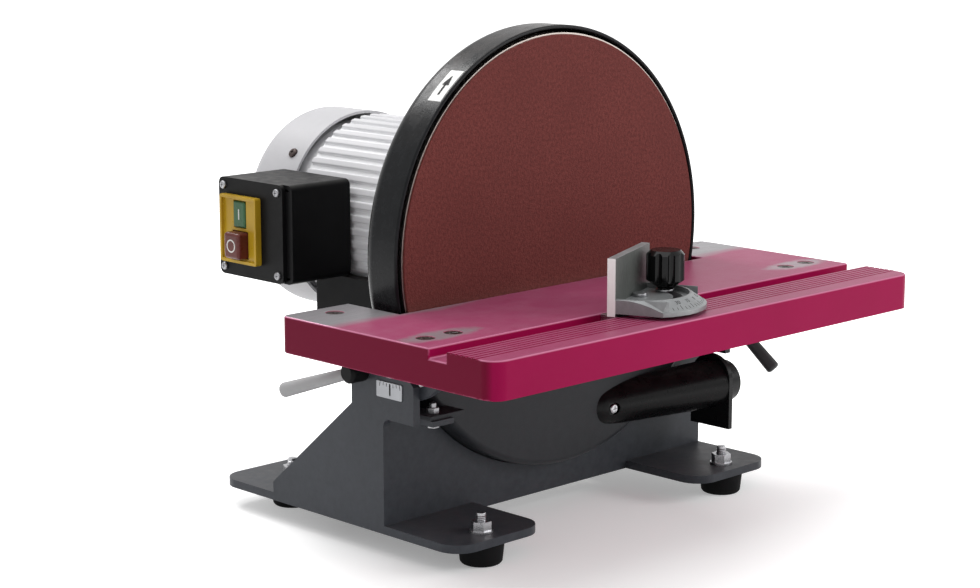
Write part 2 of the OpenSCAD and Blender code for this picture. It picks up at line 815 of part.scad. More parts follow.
module bearing(y0) {
    machine() color("silver") on_axis() difference() {
        rod_y(y0, y0 + bearing_w, bearing_r);
        rod_y(y0 - over, y0 + bearing_w + over, shaft_r + run_gap);
        for (y = [y0 - over, y0 + bearing_w - 1]) difference() {
            rod_y(y, y + 1 + over, bearing_r - 3.5);
            rod_y(y, y + 1 + over, shaft_r + 3.5);
        }
    }
}
module front_bearing() { bearing(front_bearing_y); }
module rear_bearing() { bearing(rear_bearing_y); }

// Fan cover: a cup open to the front with a rounded rear edge and arc vents in three rings
module fan_cover() {
    fillet = 12;
    vents = 8;
    inner = cover_r - cover_wall;
    wall_in = motor_back - cover_wall;
    machine() color("gainsboro") difference() {
        on_axis() turned() polygon(concat(
            [[0, wall_in]], arc([cover_r - fillet, motor_back - fillet], fillet - cover_wall, 90, 0),
            [[inner, cover_y0], [cover_r, cover_y0]],
            arc([cover_r - fillet, motor_back - fillet], fillet, 0, 90), [[0, motor_back]]));
        on_axis() for (ring = [0:2], i = [0:vents - 1]) rotate([0, (i + 0.5 * (ring % 2)) * 360 / vents, 0])
            rotate([-90, 0, 0]) translate([0, 0, wall_in - over])
            rotate_extrude(angle = 360 / vents - 14, $fn = 128)
            translate([22 + 14 * ring, 0]) square([7, cover_wall + 2 * over]);
        cover_screw_places() rod_x(frame_r, cover_r + over, cover_screw_r + bolt_gap);
    }
}

module fan_cover_screws() {
    machine() color("silver") cover_screw_places() {
        rod_x(frame_r - 3, cover_r, cover_screw_r);
        rod_x(cover_r, cover_r + cover_screw_r, cover_screw_r * 2);
    }
}

// Shaft, rotor, fan and disc

module motor_shaft() {
    machine() color("silver") on_axis() {
        rod_y(socket_y + 0.5, shaft_end - 1, shaft_r);
        translate([0, shaft_end - 1, 0]) rotate([-90, 0, 0])
            cylinder(h = 1, r1 = shaft_r, r2 = shaft_r - 1);
    }
}

module rotor_core() {
    machine() color("slategray") on_axis() difference() {
        union() {
            rod_y(core_y0, core_y1, core_r);
            rod_y(core_y0 - end_turn / 2, core_y1 + end_turn / 2, core_r - 7);
        }
        rod_y(core_y0 - end_turn, core_y1 + end_turn, shaft_r + fit_gap);
    }
}

module cooling_fan() {
    machine() color("dimgray") on_axis() difference() {
        union() {
            rod_y(fan_y0, fan_y0 + fan_w, shaft_r + 6);
            rod_y(fan_y0, fan_y0 + 2, fan_r);
            for (i = [0:fan_blades - 1]) rotate([0, 360 * i / fan_blades, 0])
                block([shaft_r + 4, fan_y0, -1], [fan_r, fan_y0 + fan_w, 1]);
        }
        rod_y(fan_y0 - over, fan_y0 + fan_w + over, shaft_r + fit_gap);
    }
}

// Disc plate with a hub behind it, a blind socket for the shaft and a ring of ribs
module disc_plate() {
    machine() color("silver") on_axis() difference() {
        union() {
            rod_y(abrasive_t, disc_back, disc_r);
            rod_y(abrasive_t, hub_back, disc_hub_r);
        }
        difference() {
            rod_y(disc_back - 5, disc_back + over, disc_r - 10);
            rod_y(0, disc_back + over, disc_hub_r + 4);
            for (i = [0:7]) rotate([0, 45 * i, 0]) block([0, 0, -3], [disc_r, disc_back + over, 3]);
        }
        rod_y(socket_y, hub_back + over, shaft_r + fit_gap);
        hub_screw_places() rod_x(shaft_r - over, disc_hub_r + over, hub_screw_r + run_gap);
    }
}

hub_screw_r = 3;

module hub_screw_places() {
    for (a = [0, 90]) rotate([0, a, 0]) translate([0, (disc_back + hub_back) / 2, 0]) children();
}

module abrasive_disc() {
    machine() color("brown") on_axis() rod_y(0, abrasive_t, disc_r - sheet_inset);
}

module hub_screws() {
    machine() color("dimgray") on_axis() hub_screw_places() difference() {
        rod_x(shaft_r + 0.1, disc_hub_r - 0.5, hub_screw_r);
        translate([disc_hub_r - hub_screw_r, 0, 0]) rotate([0, 90, 0])
            cylinder(h = hub_screw_r, r = hub_screw_r / 2, $fn = hex);
    }
}

// Switch

lid_places = [for (y = [lid_y0 + lid_inset, box_y1 - lid_inset],
    z = [box_z0 + lid_inset, box_z1 - lid_inset]) [0, y, z]];
lid_screw_r = 1.75;

module switch_box() {
    machine() color("black") difference() {
        union() {
            difference() {
                plate_x(cover_t - box_reach, -box_back)
                    polygon(rounded([box_y0, box_z0], [box_y1, box_z1], box_round));
                plate_x(cover_t - box_reach - over, -box_back - box_wall) polygon(rounded(
                    [box_y0 + box_wall, box_z0 + box_wall], [box_y1 - box_wall, box_z1 - box_wall], 3));
            }
            for (p = lid_places) translate(p) rod_x(cover_t - box_reach, -box_back - box_wall + over, 4.5);
            for (y = [box_y0, lid_y0 - 4]) block([cover_t - box_reach, y, box_z0 + box_round],
                [cover_t - box_reach + 4, y + 5, box_z1 - box_round]);
        }
        for (p = lid_places) translate(p) rod_x(-box_reach, cover_t - box_reach + 16, lid_screw_r + run_gap);
        gland_place() cylinder(h = 8, r = gland_r + run_gap, center = true);
    }
}

module switch_cover() {
    machine() color("black") difference() {
        plate_x(-box_reach, cover_t - box_reach)
            polygon(rounded([lid_y0, box_z0], [box_y1, box_z1], box_round));
        for (p = lid_places) translate(p)
            rod_x(-box_reach - over, cover_t - box_reach + over, lid_screw_r + bolt_gap);
        switch_place() block([-over, -well_w / 2 - bolt_gap, -well_h / 2 - bolt_gap],
            [cover_t + over, well_w / 2 + bolt_gap, well_h / 2 + bolt_gap]);
    }
}

module cover_screws() {
    machine() color("silver") for (p = lid_places) translate(p) {
        rod_x(-box_reach, cover_t - box_reach + 12, lid_screw_r);
        rod_x(-box_reach - 2, -box_reach, lid_screw_r * 2);
    }
}

// Origin on the cover's face, at the middle of the switch
module switch_place() { translate([-box_reach, switch_y, switch_z]) children(); }

// Room for a button in the switch well, and the button itself
module on_block(gap, x0, x1) {
    block([x0, -on_w / 2 - gap, button_z - on_h / 2 - gap],
        [x1, on_w / 2 + gap, button_z + on_h / 2 + gap]);
}
module off_block(gap, x0, x1) {
    block([x0, -off_w / 2 - gap, -button_z - off_h / 2 - gap],
        [x1, off_w / 2 + gap, -button_z + off_h / 2 + gap]);
}

// Yellow switch frame: a flange with a raised rim on the cover, and a well behind it
module switch_frame() {
    rim_x = -switch_t - switch_rim;
    machine() color("gold") switch_place() difference() {
        union() {
            difference() {
                plate_x(rim_x, 0)
                    polygon(rounded([-switch_w / 2, -switch_h / 2], [switch_w / 2, switch_h / 2], 2));
                block([rim_x - over, switch_rim - switch_w / 2, switch_rim - switch_h / 2],
                    [-switch_t, switch_w / 2 - switch_rim, switch_h / 2 - switch_rim]);
            }
            block([-over, -well_w / 2, -well_h / 2], [well_depth, well_w / 2, well_h / 2]);
        }
        on_block(button_gap, rim_x, well_depth - 2);
        off_block(button_gap, rim_x, well_depth - 2);
    }
}

module on_button() {
    machine() color("green") switch_place() {
        on_block(0, -switch_t - 1, button_back);
    }
}

// OFF button: a tall block that stands proud of the frame
module off_button() {
    machine() color("firebrick") switch_place() {
        off_block(0, -switch_t - off_proud, button_back);
    }
}

gland_r = 7;
module gland_place() {
    translate([-(box_back + box_reach) / 2, box_y1, box_z0 + box_h * 0.4]) rotate([90, 0, 0]) children();
}

// Inlet of the mains lead at the back of the switch box, without the lead
module cable_gland() {
    machine() color("black") gland_place() difference() {
        union() {
            translate([0, 0, -10]) cylinder(h = 14, r = gland_r);
            hex_z(-4, 0, gland_r * 2.7);
            translate([0, 0, -14]) cylinder(h = 4.1, r1 = gland_r - 1.5, r2 = gland_r + 1.5);
        }
        translate([0, 0, -15]) cylinder(h = 20, r = 4);
    }
}

// Table locks

// The left lock bolt stands behind its guide pin, the right one in front of it
module at_stud() { translate([0, stud_y, stud_z]) children(); }
module at_pin() { translate([0, pin_y, pin_z]) children(); }
module lock_places() {
    at_stud() children();
    mirror([1, 0, 0]) at_pin() children();
}
module pin_places() {
    at_pin() children();
    mirror([1, 0, 0]) at_stud() children();
}

// Bolt with a flat head inside the web; its shank runs through slot, cheek, washer and hub
module lock_bolts() {
    head_r0 = lock_d * 1.1;
    machine() color("silver") lock_places() {
        rod_x(-hub_in - hub_len + 4, face_gap - web_in, lock_d / 2);
        rod_x(face_gap - web_in, face_gap - web_in + lock_d / 2, head_r0);
    }
}

module lock_washers() {
    machine() color("silver") lock_places() difference() {
        rod_x(-cheek_out - washer_t, -cheek_out, washer_r);
        rod_x(-cheek_out - washer_t - over, -cheek_out + over, lock_d / 2 + fit_gap);
    }
}

// Pins in the cheeks that keep the arc slots on their circle
module guide_pins() {
    machine() color("silver") pin_places() rod_x(-cheek_out + 2, -web_in + 2, lock_d / 2);
}

// Bare plate for the tilt scale on the left cheek's nose
scale_t = 0.8;
scale_w = 26;
scale_h = 11.5;
module angle_scale() {
    machine() color("whitesmoke") plate_x(-cheek_out - scale_t, -cheek_out)
        translate([pin_y + 2.3, pin_z + 1]) polygon(rounded([0, -scale_h], [scale_w, 0], 1));
}

lever_out = 13;
lever_left = -19;
lever_right = 227;
lever_right_less = 12;
lever_r1 = 4.2;
lever_r2 = 5.4;
lever_round = 2.5;
lever_tenon = 3;
lever_seat = lock_d / 2 + 1.3;
lever_root = (hub_r + lever_r1 * sin(lever_out)) / cos(lever_out) + 0.1;
lever_x = -hub_in - 7;

// Axis of a lever's handle, from the middle of its hub
module lever_axis(swing) {
    translate([lever_x, 0, 0]) rotate([swing, 0, 0]) rotate([0, 0, lever_out]) rotate([-90, 0, 0]) children();
}

module lever_hub(swing) {
    bevel = 2;
    color("black") difference() {
        union() {
            rod_x(-hub_in - hub_len + bevel, -hub_in, hub_r);
            translate([-hub_in - hub_len + bevel, 0, 0]) rotate([0, -90, 0])
                cylinder(h = bevel, r1 = hub_r, r2 = hub_r - bevel);
        }
        rod_x(-hub_in - hub_len + 3.5, -hub_in + over, lock_d / 2 + run_gap);
        lever_axis(swing) translate([0, 0, lever_seat]) cylinder(h = hub_r, r = lever_tenon + fit_gap);
    }
}

// Tapered handle with a rounded end, tenoned into the hub
module lever_handle(swing, length) {
    color("lightgray") lever_axis(swing) {
        translate([0, 0, lever_seat]) cylinder(h = lever_root - lever_seat, r = lever_tenon);
        rotate_extrude() polygon(concat([[0, lever_root], [lever_r1, lever_root]],
            arc([lever_r2 - lever_round, length - lever_round], lever_round, 0, 90), [[0, length]]));
    }
}

module lever_hub_left() { machine() at_stud() lever_hub(lever_left); }
module lever_handle_left() { machine() at_stud() lever_handle(lever_left, lever_len); }
module lever_hub_right() { machine() mirror([1, 0, 0]) at_pin() lever_hub(lever_right); }
module lever_handle_right() {
    machine() mirror([1, 0, 0]) at_pin() lever_handle(lever_right, lever_len - lever_right_less);
}

// Table

table_round = 12;
wing_round = 6;
notch_y = pivot_y - 1;
table_screw_places = [for (s = [-1, 1]) each [[s * (screw_mid - screw_gap_x / 2), front_screw_y],
    [s * (screw_mid + screw_gap_x / 2), front_screw_y], [s * screw_mid, rear_screw_y]]];

// Table seen from above: round front corners, wings to either side of the guard's notch
module table_outline(inset) {
    w = half - inset;
    front = inset - table_front;
    back = table_back - inset;
    r1 = max(table_round - inset, 2);
    r2 = max(wing_round - inset, 1);
    polygon(concat(arc([r1 - w, front + r1], r1, 180, 270), arc([w - r1, front + r1], r1, 270, 360),
        arc([w - r2, back - r2], r2, 0, 90), arc([r2 - w, back - r2], r2, 90, 180)));
}

// Notch for the guard, with its front edge cut back below so that it clears the tilted disc side
module table_notch() {
    chamfer = table_t - 2;
    plate_x(-notch_x, notch_x) polygon([[notch_y, table_h + over], [table_back + over, table_h + over],
        [table_back + over, table_h - skirt_h - over], [notch_y - chamfer, table_h - skirt_h - over],
        [notch_y - chamfer, plate_under], [notch_y, table_h - 2]]);
}

// Hollow casting: top plate, skirt, thick band under the mitre slot, fine grooves along the top
module table() {
    rib = 6;
    machine() color("mediumvioletred") difference() {
        union() {
            difference() {
                translate([0, 0, table_h - skirt_h]) linear_extrude(skirt_h) table_outline(0);
                translate([0, 0, table_h - skirt_h - over]) linear_extrude(skirt_h - table_t + over)
                    table_outline(skirt_t);
            }
            block([skirt_t / 2 - half, -slot_y - slot_w / 2 - rib, plate_under - table_t],
                [half - skirt_t / 2, -slot_y + slot_w / 2 + rib, plate_under + over]);
        }
        table_notch();
        block([-half - over, -slot_y - slot_w / 2, slot_floor],
            [half + over, -slot_y + slot_w / 2, table_h + over]);
        for (i = [0:front_grooves - 1]) groove(-slot_y - slot_w / 2 - groove_pitch * (i + 1));
        for (p = table_screw_places) translate([p[0], p[1], table_h]) {
            translate([0, 0, -table_t - over]) cylinder(h = table_t + 2 * over, r = table_screw_r + bolt_gap);
            translate([0, 0, -csk_t])
                cylinder(h = csk_t + fit_gap, r1 = table_screw_r + bolt_gap, r2 = csk_r + bolt_gap);
        }
    }
}

module groove(y) {
    block([-half - over, y - groove_w / 2, table_h - groove_t],
        [half + over, y + groove_w / 2, table_h + over]);
}

// Left trunnion: flange under the table and a round web with the arc slot about the tilt axis
module trunnion() {
    ends = [stud_a + slot_spare, pin_a - tilt_max - slot_spare];
    web_gap = 1;
    reach = web_r + 20;
    machine() difference() {
        union() {
            intersection() {
                translate([0, pivot_y, pivot_z]) rod_x(-web_out, -web_in, web_r);
                plate_x(-web_out, -web_in) translate([pivot_y, pivot_z]) polygon([
                    [-reach, flange_under - pivot_z + over],
                    [pivot_z - flange_under - web_gap, flange_under - pivot_z + over],
                    [reach, -reach - web_gap], [-reach, -reach - web_gap]]);
            }
            block([-flange_out, front_screw_y - 11, flange_under], [-web_in, pivot_y + 4, plate_under]);
            block([-flange_out, front_screw_y, flange_under],
                [-cheek_out - 1.5, rear_screw_y + 9, plate_under]);
        }
        translate([-web_out - over, pivot_y, pivot_z]) rotate([90, 0, 90]) rotate([0, 0, ends[1]])
            rotate_extrude(angle = ends[0] - ends[1], $fn = 128)
            translate([arc_r - arc_w / 2, 0]) square([arc_w, web_t + 2 * over]);
        for (a = ends) translate([0, pivot_y + arc_r * cos(a), pivot_z + arc_r * sin(a)])
            rod_x(-web_out - over, -web_in + over, arc_w / 2);
        for (p = table_screw_places) translate([p[0], p[1], flange_under - over])
            cylinder(h = flange_t + 2 * over, r = table_screw_r + run_gap);
    }
}

module trunnion_left() { color("dimgray") trunnion(); }
module trunnion_right() { color("dimgray") mirror([1, 0, 0]) trunnion(); }

module table_screws() {
    machine() color("silver") for (p = table_screw_places) translate([p[0], p[1], table_h]) {
        translate([0, 0, -table_t - flange_t - 2]) cylinder(h = table_t + flange_t + 1, r = table_screw_r);
        translate([0, 0, -csk_t]) cylinder(h = csk_t - face_gap, r1 = table_screw_r, r2 = csk_r - face_gap);
    }
}

// Pointer of the tilt scale: a plate with a round lower edge about the tilt axis, hung from the left
// trunnion's flange outside the cheek, clear of the lock's washer
module scale_pointer() {
    tip_r = arc_r - washer_r - 0.5;
    gap = 0.4;
    machine() color("lightgray") {
        plate_x(-cheek_out - washer_t + gap, -cheek_out - gap) translate([pivot_y, pivot_z])
            polygon(concat([[11, flange_under - pivot_z]], [[-15, flange_under - pivot_z]],
                arc([0, 0], tip_r, -112, -78)));
    }
}

// Mitre gauge

// Origin at the head's pivot on the table's top, and the head's own turned frame
module gauge() { translate([gauge_x, gauge_y, 0]) children(); }
module head_frame() { gauge() rotate([0, 0, -head_swing]) children(); }

// Guide bar with a raised boss that carries the head
module miter_bar() {
    machine() color("silver") difference() {
        union() {
            block([bar_x0, gauge_y - bar_w / 2, slot_floor + 0.2],
                [bar_x0 + bar_len, gauge_y + bar_w / 2, bar_top]);
            gauge() translate([0, 0, bar_top - over])
                cylinder(h = head_z - 0.2 - bar_top + over, r = pin_r + 1.7);
        }
        gauge() translate([0, 0, slot_floor]) cylinder(h = 2 * slot_depth, r = pin_r + fit_gap);
        gauge() translate([lock_r, 0, slot_floor]) cylinder(h = 2 * slot_depth, r = stud_r + fit_gap);
    }
}

module miter_stud() {
    machine() color("silver") gauge() translate([lock_r, 0, 0]) {
        translate([0, 0, slot_floor + 0.4]) cylinder(h = knob_z + knob_h - 6 - slot_floor, r = stud_r);
        translate([0, 0, head_z + head_t + face_gap]) difference() {
            cylinder(h = head_washer_t, r = stud_r * 2.2);
            translate([0, 0, -over]) cylinder(h = 2 * over + head_washer_t, r = stud_r - 0.5);
        }
    }
}

// Shoulder screw that the head turns on
module miter_pivot() {
    machine() color("silver") gauge() {
        translate([0, 0, slot_floor + 0.4])
            cylinder(h = head_z + head_t + face_gap - slot_floor - 0.4, r = pin_r);
        translate([0, 0, head_z + head_t + face_gap]) cylinder(h = 2, r = pin_r * 1.45);
    }
}

// Half-round head with a sloped scale rim, an arc slot round the pivot and a fence along its straight side
module miter_head() {
    ends = [head_swing + 4, -head_swing - 4];
    slot_half = stud_r + face_gap;
    rim_in = head_r - rim_t;
    machine() color("silver") head_frame() translate([0, 0, head_z]) difference() {
        union() {
            intersection() {
                rotate_extrude($fn = 128) polygon([[0, 0], [head_r, 0], [head_r, bead_t],
                    [head_r - 1, bead_t + 0.5], [rim_in + 1.5, rim_h], [rim_in, rim_h], [rim_in, head_t],
                    [0, head_t]]);
                block([fence_x - 1, -fence_len / 2, 0], [head_r, fence_len / 2, rim_h]);
            }
            intersection() {
                for (side = [-1, 1]) plate_x(fence_x - 1, head_r) scale_side(side);
                cylinder(h = rim_h, r = head_r - 1, $fn = 128);
            }
            block([fence_x - fence_t, -fence_len / 2, face_gap - head_lift],
                [fence_x, fence_len / 2, fence_h]);
        }
        translate([0, 0, -over]) cylinder(h = head_t + 2 * over, r = pin_r + run_gap);
        translate([0, 0, -over]) rotate([0, 0, ends[1]]) rotate_extrude(angle = ends[0] - ends[1], $fn = 128)
            translate([lock_r - slot_half, 0]) square([2 * slot_half, head_t + 2 * over]);
        for (a = ends) rotate([0, 0, a]) translate([lock_r, 0, -over])
            cylinder(h = head_t + 2 * over, r = slot_half);
    }
}

// Section of the head's rim along one of its two cut sides, in Y and Z
module scale_side(side) {
    y = side * fence_len / 2;
    polygon([[y, 0], [y, bead_t], [y - side, bead_t + 0.5], [y - side * (side_rim - 1), rim_h],
        [y - side * side_rim, rim_h], [y - side * side_rim, 0]]);
}

// Fluted knob that clamps the head
module miter_knob() {
    machine() color("black") gauge() translate([lock_r, 0, knob_z]) difference() {
        union() {
            cylinder(h = 5, r1 = knob_d / 4, r2 = knob_d / 2);
            translate([0, 0, 5]) cylinder(h = knob_h - 8, r = knob_d / 2);
            translate([0, 0, knob_h - 3]) cylinder(h = 3, r1 = knob_d / 2, r2 = knob_d / 2 - 3);
            translate([0, 0, head_z + head_t + head_washer_t + 2 * face_gap - knob_z])
                cylinder(h = 8, r = stud_r + 2.5);
        }
        for (i = [0:flutes - 1]) rotate([0, 0, 360 * i / flutes]) translate([knob_d / 2 + 1.2, 0, 0])
            cylinder(h = knob_h + over, r = 3);
        translate([0, 0, -12]) cylinder(h = knob_h + 7, r = stud_r + run_gap);
    }
}

base();
rubber_feet();
foot_studs();
foot_nuts();
back_plate();
back_plate_bolts();
disc_guard();
guard_screws();
lower_guard();
lower_guard_screws();
tab_bolt();
dust_chute();
chute_screw();
dust_outlet();
motor_cradle();
cradle_bolts();
front_bell();
motor_frame();
rear_bell();
motor_bolts();
stator_core();
stator_windings();
front_bearing();
rear_bearing();
fan_cover();
fan_cover_screws();
switch_box();
switch_cover();
cover_screws();
switch_frame();
cable_gland();
lock_bolts();
lock_washers();
guide_pins();
angle_scale();
motor_shaft();
rotor_core();
cooling_fan();
disc_plate();
abrasive_disc();
hub_screws();
table();
trunnion_left();
trunnion_right();
table_screws();
scale_pointer();
lever_hub_left();
lever_handle_left();
lever_hub_right();
lever_handle_right();
miter_bar();
miter_stud();
miter_pivot();
miter_head();
miter_knob();
on_button();
off_button();
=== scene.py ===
import json
import math

import bmesh
import bpy
from mathutils import Matrix, Vector


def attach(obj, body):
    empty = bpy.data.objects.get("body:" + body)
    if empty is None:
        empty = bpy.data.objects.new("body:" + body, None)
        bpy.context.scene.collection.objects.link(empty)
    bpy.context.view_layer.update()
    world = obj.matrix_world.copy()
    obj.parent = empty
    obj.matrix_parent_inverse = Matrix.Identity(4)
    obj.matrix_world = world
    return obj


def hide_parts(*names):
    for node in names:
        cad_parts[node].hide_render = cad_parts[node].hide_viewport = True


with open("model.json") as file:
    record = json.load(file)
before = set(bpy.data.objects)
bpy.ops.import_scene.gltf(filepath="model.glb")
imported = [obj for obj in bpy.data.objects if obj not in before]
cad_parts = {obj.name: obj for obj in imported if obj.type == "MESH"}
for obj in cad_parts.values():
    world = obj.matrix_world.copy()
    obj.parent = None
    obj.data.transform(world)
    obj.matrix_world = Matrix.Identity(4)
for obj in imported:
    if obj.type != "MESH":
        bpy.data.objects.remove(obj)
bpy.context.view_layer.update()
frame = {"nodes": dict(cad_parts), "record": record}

# Machine data, in millimetres. y is measured from the abrasive's face, z from the bench.
MM = 0.001
FACE_Y = -54.75
AXIS_Z = 204.0
FIN_CREST_R, FIN_VALLEY_R, FIN_BELT_R = 77.8, 76.2, 72.0
FIN_MIN_LENGTH = 40.0
TABLE_Z, TABLE_END_X = 173.0, 219.0
TABLE_SCREWS = ((175.52, -74.0), (200.48, -74.0), (188.0, 31.0))
SCREW_SEAT_R, SCREW_SEAT_DEPTH = 8.0, 3.5
GROOVES_FROM_Y, GROOVES_TO_Y = -144.0, -116.0
NOTCH_X, NOTCH_Y = 161.0, -15.0
PLATE_THICK = 8.5
GUARD_R = 158.0

# Edges that turn by more than this are rounded; faces that turn by less are shaded as one, in degrees
SHARP_ANGLE = 32
SMOOTH_ANGLE = 35


def at(x, y, z):
    """A point of the machine, in metres, in the frame."""
    return Vector((x * MM, (y + FACE_Y) * MM, z * MM))


# Hands: selecting, editing and finishing a mesh


def pick(*pieces):
    bpy.ops.object.select_all(action="DESELECT")
    for piece in pieces:
        piece.select_set(True)
    bpy.context.view_layer.objects.active = pieces[0]


def open_mesh(piece, select="DESELECT"):
    pick(piece)
    bpy.ops.object.mode_set(mode="EDIT")
    bpy.ops.mesh.select_all(action=select)
    return bmesh.from_edit_mesh(piece.data)


def close_mesh():
    bpy.ops.object.mode_set(mode="OBJECT")


def select_faces(bm, piece, test):
    for vert in bm.verts:
        vert.select_set(False)
    bm.select_flush_mode()
    for face in bm.faces:
        if test(face):
            face.select_set(True)
    bm.select_flush_mode()
    bmesh.update_edit_mesh(piece.data)


def settle(piece):
    """Puts the piece's place into its mesh, so that its object sits at the origin."""
    pick(piece)
    bpy.ops.object.transform_apply(location=True, rotation=True, scale=True)


def apply_all(piece):
    pick(piece)
    for mod in list(piece.modifiers):
        bpy.ops.object.modifier_apply(modifier=mod.name)


def smooth(piece):
    pick(piece)
    bpy.ops.object.shade_smooth_by_angle(angle=math.radians(SMOOTH_ANGLE))


def even_normals(piece):
    """Keeps broad faces flat next to their rounded edges."""
    mod = piece.modifiers.new("even", "WEIGHTED_NORMAL")
    mod.weight = 100
    mod.keep_sharp = True
    apply_all(piece)


def round_edges(piece, width, segments, weight=None, limit=True):
    """Rounds the sharp edges. The new strips are marked in the attribute edge, for wear.

    weight gives each edge its share of the width. Without limit, neighbouring strips may meet.
    """
    bm = open_mesh(piece)
    layers = bm.edges.layers.float
    layer = layers.get("bevel_weight_edge") or layers.new("bevel_weight_edge")
    for edge in bm.edges:
        sharp = len(edge.link_faces) == 2 and edge.calc_face_angle(0.0) > math.radians(SHARP_ANGLE)
        middle = (edge.verts[0].co + edge.verts[1].co) / 2
        edge[layer] = (weight(middle, edge) if weight else 1.0) if sharp else 0.0
    bmesh.update_edit_mesh(piece.data)
    close_mesh()
    while len(piece.data.materials) < 2:
        piece.data.materials.append(None)
    mod = piece.modifiers.new("edge_round", "BEVEL")
    mod.width = width * MM
    mod.segments = segments
    mod.limit_method = "WEIGHT"
    mod.use_clamp_overlap = limit
    mod.material = 1
    apply_all(piece)
    mesh = piece.data
    strip = [p.material_index == 1 for p in mesh.polygons]
    inner = [True] * len(mesh.vertices)
    for p, is_strip in zip(mesh.polygons, strip):
        if not is_strip:
            for v in p.vertices:
                inner[v] = False
        p.material_index = 0
    mark = mesh.attributes.new("edge", "FLOAT", "POINT")
    mark.data.foreach_set("value", [1.0 if i else 0.0 for i in inner])
    mesh.materials.clear()


def finish(piece, body, material):
    piece.data.materials.clear()
    piece.data.materials.append(material)
    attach(piece, body)


node_body = {n: b for b, ns in frame["record"]["behaviour"]["bodies"].items() for n in ns}
node_slot = {s["node"]: s["material_slot"] for s in frame["record"]["subparts"]}


def casting_of(node, name):
    """A merged copy of a machine piece's mesh, ready for finishing."""
    piece = bpy.data.objects.new(name, frame["nodes"][node].data.copy())
    bpy.context.scene.collection.objects.link(piece)
    piece.data.materials.clear()
    open_mesh(piece, "SELECT")
    bpy.ops.mesh.customdata_custom_splitnormals_clear()
    bpy.ops.mesh.remove_doubles(threshold=0.01 * MM)
    bpy.ops.mesh.dissolve_limited(angle_limit=math.radians(0.2))
    close_mesh()
    return piece


def fitted(piece, node, material):
    """Shades and finishes the piece, and puts it in the place of the plain node that it stands for."""
    smooth(piece)
    even_normals(piece)
    finish(piece, node_body[node], material)
    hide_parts(node)


def dressed(node, material, width, segments, weight=None, limit=True):
    """The machine piece with rounded edges and a finish, in place of its plain solid."""
    piece = casting_of(node, node + "_finished")
    round_edges(piece, width, segments, weight, limit)
    fitted(piece, node, material)


# Finishes


def tint(r, g, b):
    """A colour given as it is seen on a screen, 0 to 255."""
    def linear(v):
        v = v / 255
        return v / 12.92 if v <= 0.04045 else ((v + 0.055) / 1.055) ** 2.4
    return (linear(r), linear(g), linear(b), 1.0)


def new_group(name, inputs, outputs):
    tree = bpy.data.node_groups.new(name, "ShaderNodeTree")
    for label, kind, value in inputs:
        socket = tree.interface.new_socket(label, in_out="INPUT", socket_type=kind)
        socket.default_value = value
    for label, kind in outputs:
        tree.interface.new_socket(label, in_out="OUTPUT", socket_type=kind)
    return tree, tree.nodes.new("NodeGroupInput"), tree.nodes.new("NodeGroupOutput")


def put(tree, kind, settings=None, **inputs):
    node = tree.nodes.new(kind)
    for key, value in (settings or {}).items():
        setattr(node, key, value)
    for key, value in inputs.items():
        socket = node.inputs[key.replace("_", " ")]
        if isinstance(value, bpy.types.NodeSocket):
            tree.links.new(value, socket)
        else:
            socket.default_value = value
    return node


def calc(tree, operation, a, b=None, clamp=False):
    node = tree.nodes.new("ShaderNodeMath")
    node.operation = operation
    node.use_clamp = clamp
    for socket, value in zip(node.inputs, (a, b)):
        if isinstance(value, bpy.types.NodeSocket):
            tree.links.new(value, socket)
        elif value is not None:
            socket.default_value = value
    return node.outputs[0]


def times(tree, a, b):
    return calc(tree, "MULTIPLY", a, b)


def blend_colour(tree, factor, a, b):
    """Colour a where factor is 0, colour b where it is 1."""
    node = tree.nodes.new("ShaderNodeMix")
    node.data_type = "RGBA"
    for socket, value in ((node.inputs[0], factor), (node.inputs[6], a), (node.inputs[7], b)):
        if isinstance(value, bpy.types.NodeSocket):
            tree.links.new(value, socket)
        else:
            socket.default_value = value
    return node.outputs[2]


def spread(tree, value, low, high, to_low=0.0, to_high=1.0):
    """Stretches what lies between low and high over to_low to to_high."""
    node = put(tree, "ShaderNodeMapRange", Value=value)
    node.inputs[1].default_value = low
    node.inputs[2].default_value = high
    node.inputs[3].default_value = to_low
    node.inputs[4].default_value = to_high
    return node.outputs[0]


def noise(tree, point, scale, detail, roughness):
    node = put(tree, "ShaderNodeTexNoise", Vector=point, Scale=scale, Detail=detail, Roughness=roughness)
    return node.outputs["Fac"]


def object_point(tree):
    return put(tree, "ShaderNodeTexCoord").outputs["Object"]


def own_normal(tree):
    """The surface direction in the piece's own frame, which turns with the piece."""
    return put(tree, "ShaderNodeTexCoord").outputs["Normal"]


def make_skin_group():
    """Broad patches, fine mottle and the pebbled surface of sprayed paint."""
    tree, entry, leave = new_group("sprayed_skin", [
        ("Patch Scale", "NodeSocketFloat", 9.0), ("Peel Scale", "NodeSocketFloat", 700.0)], [
        ("Patch", "NodeSocketFloat"), ("Mottle", "NodeSocketFloat"), ("Peel", "NodeSocketFloat")])
    point = object_point(tree)
    patch = noise(tree, point, entry.outputs["Patch Scale"], 3.0, 0.55)
    mottle = noise(tree, point, 140.0, 4.0, 0.6)
    peel = noise(tree, point, entry.outputs["Peel Scale"], 2.0, 0.5)
    tree.links.new(spread(tree, patch, 0.3, 0.7), leave.inputs["Patch"])
    tree.links.new(spread(tree, mottle, 0.3, 0.7), leave.inputs["Mottle"])
    tree.links.new(peel, leave.inputs["Peel"])
    return tree


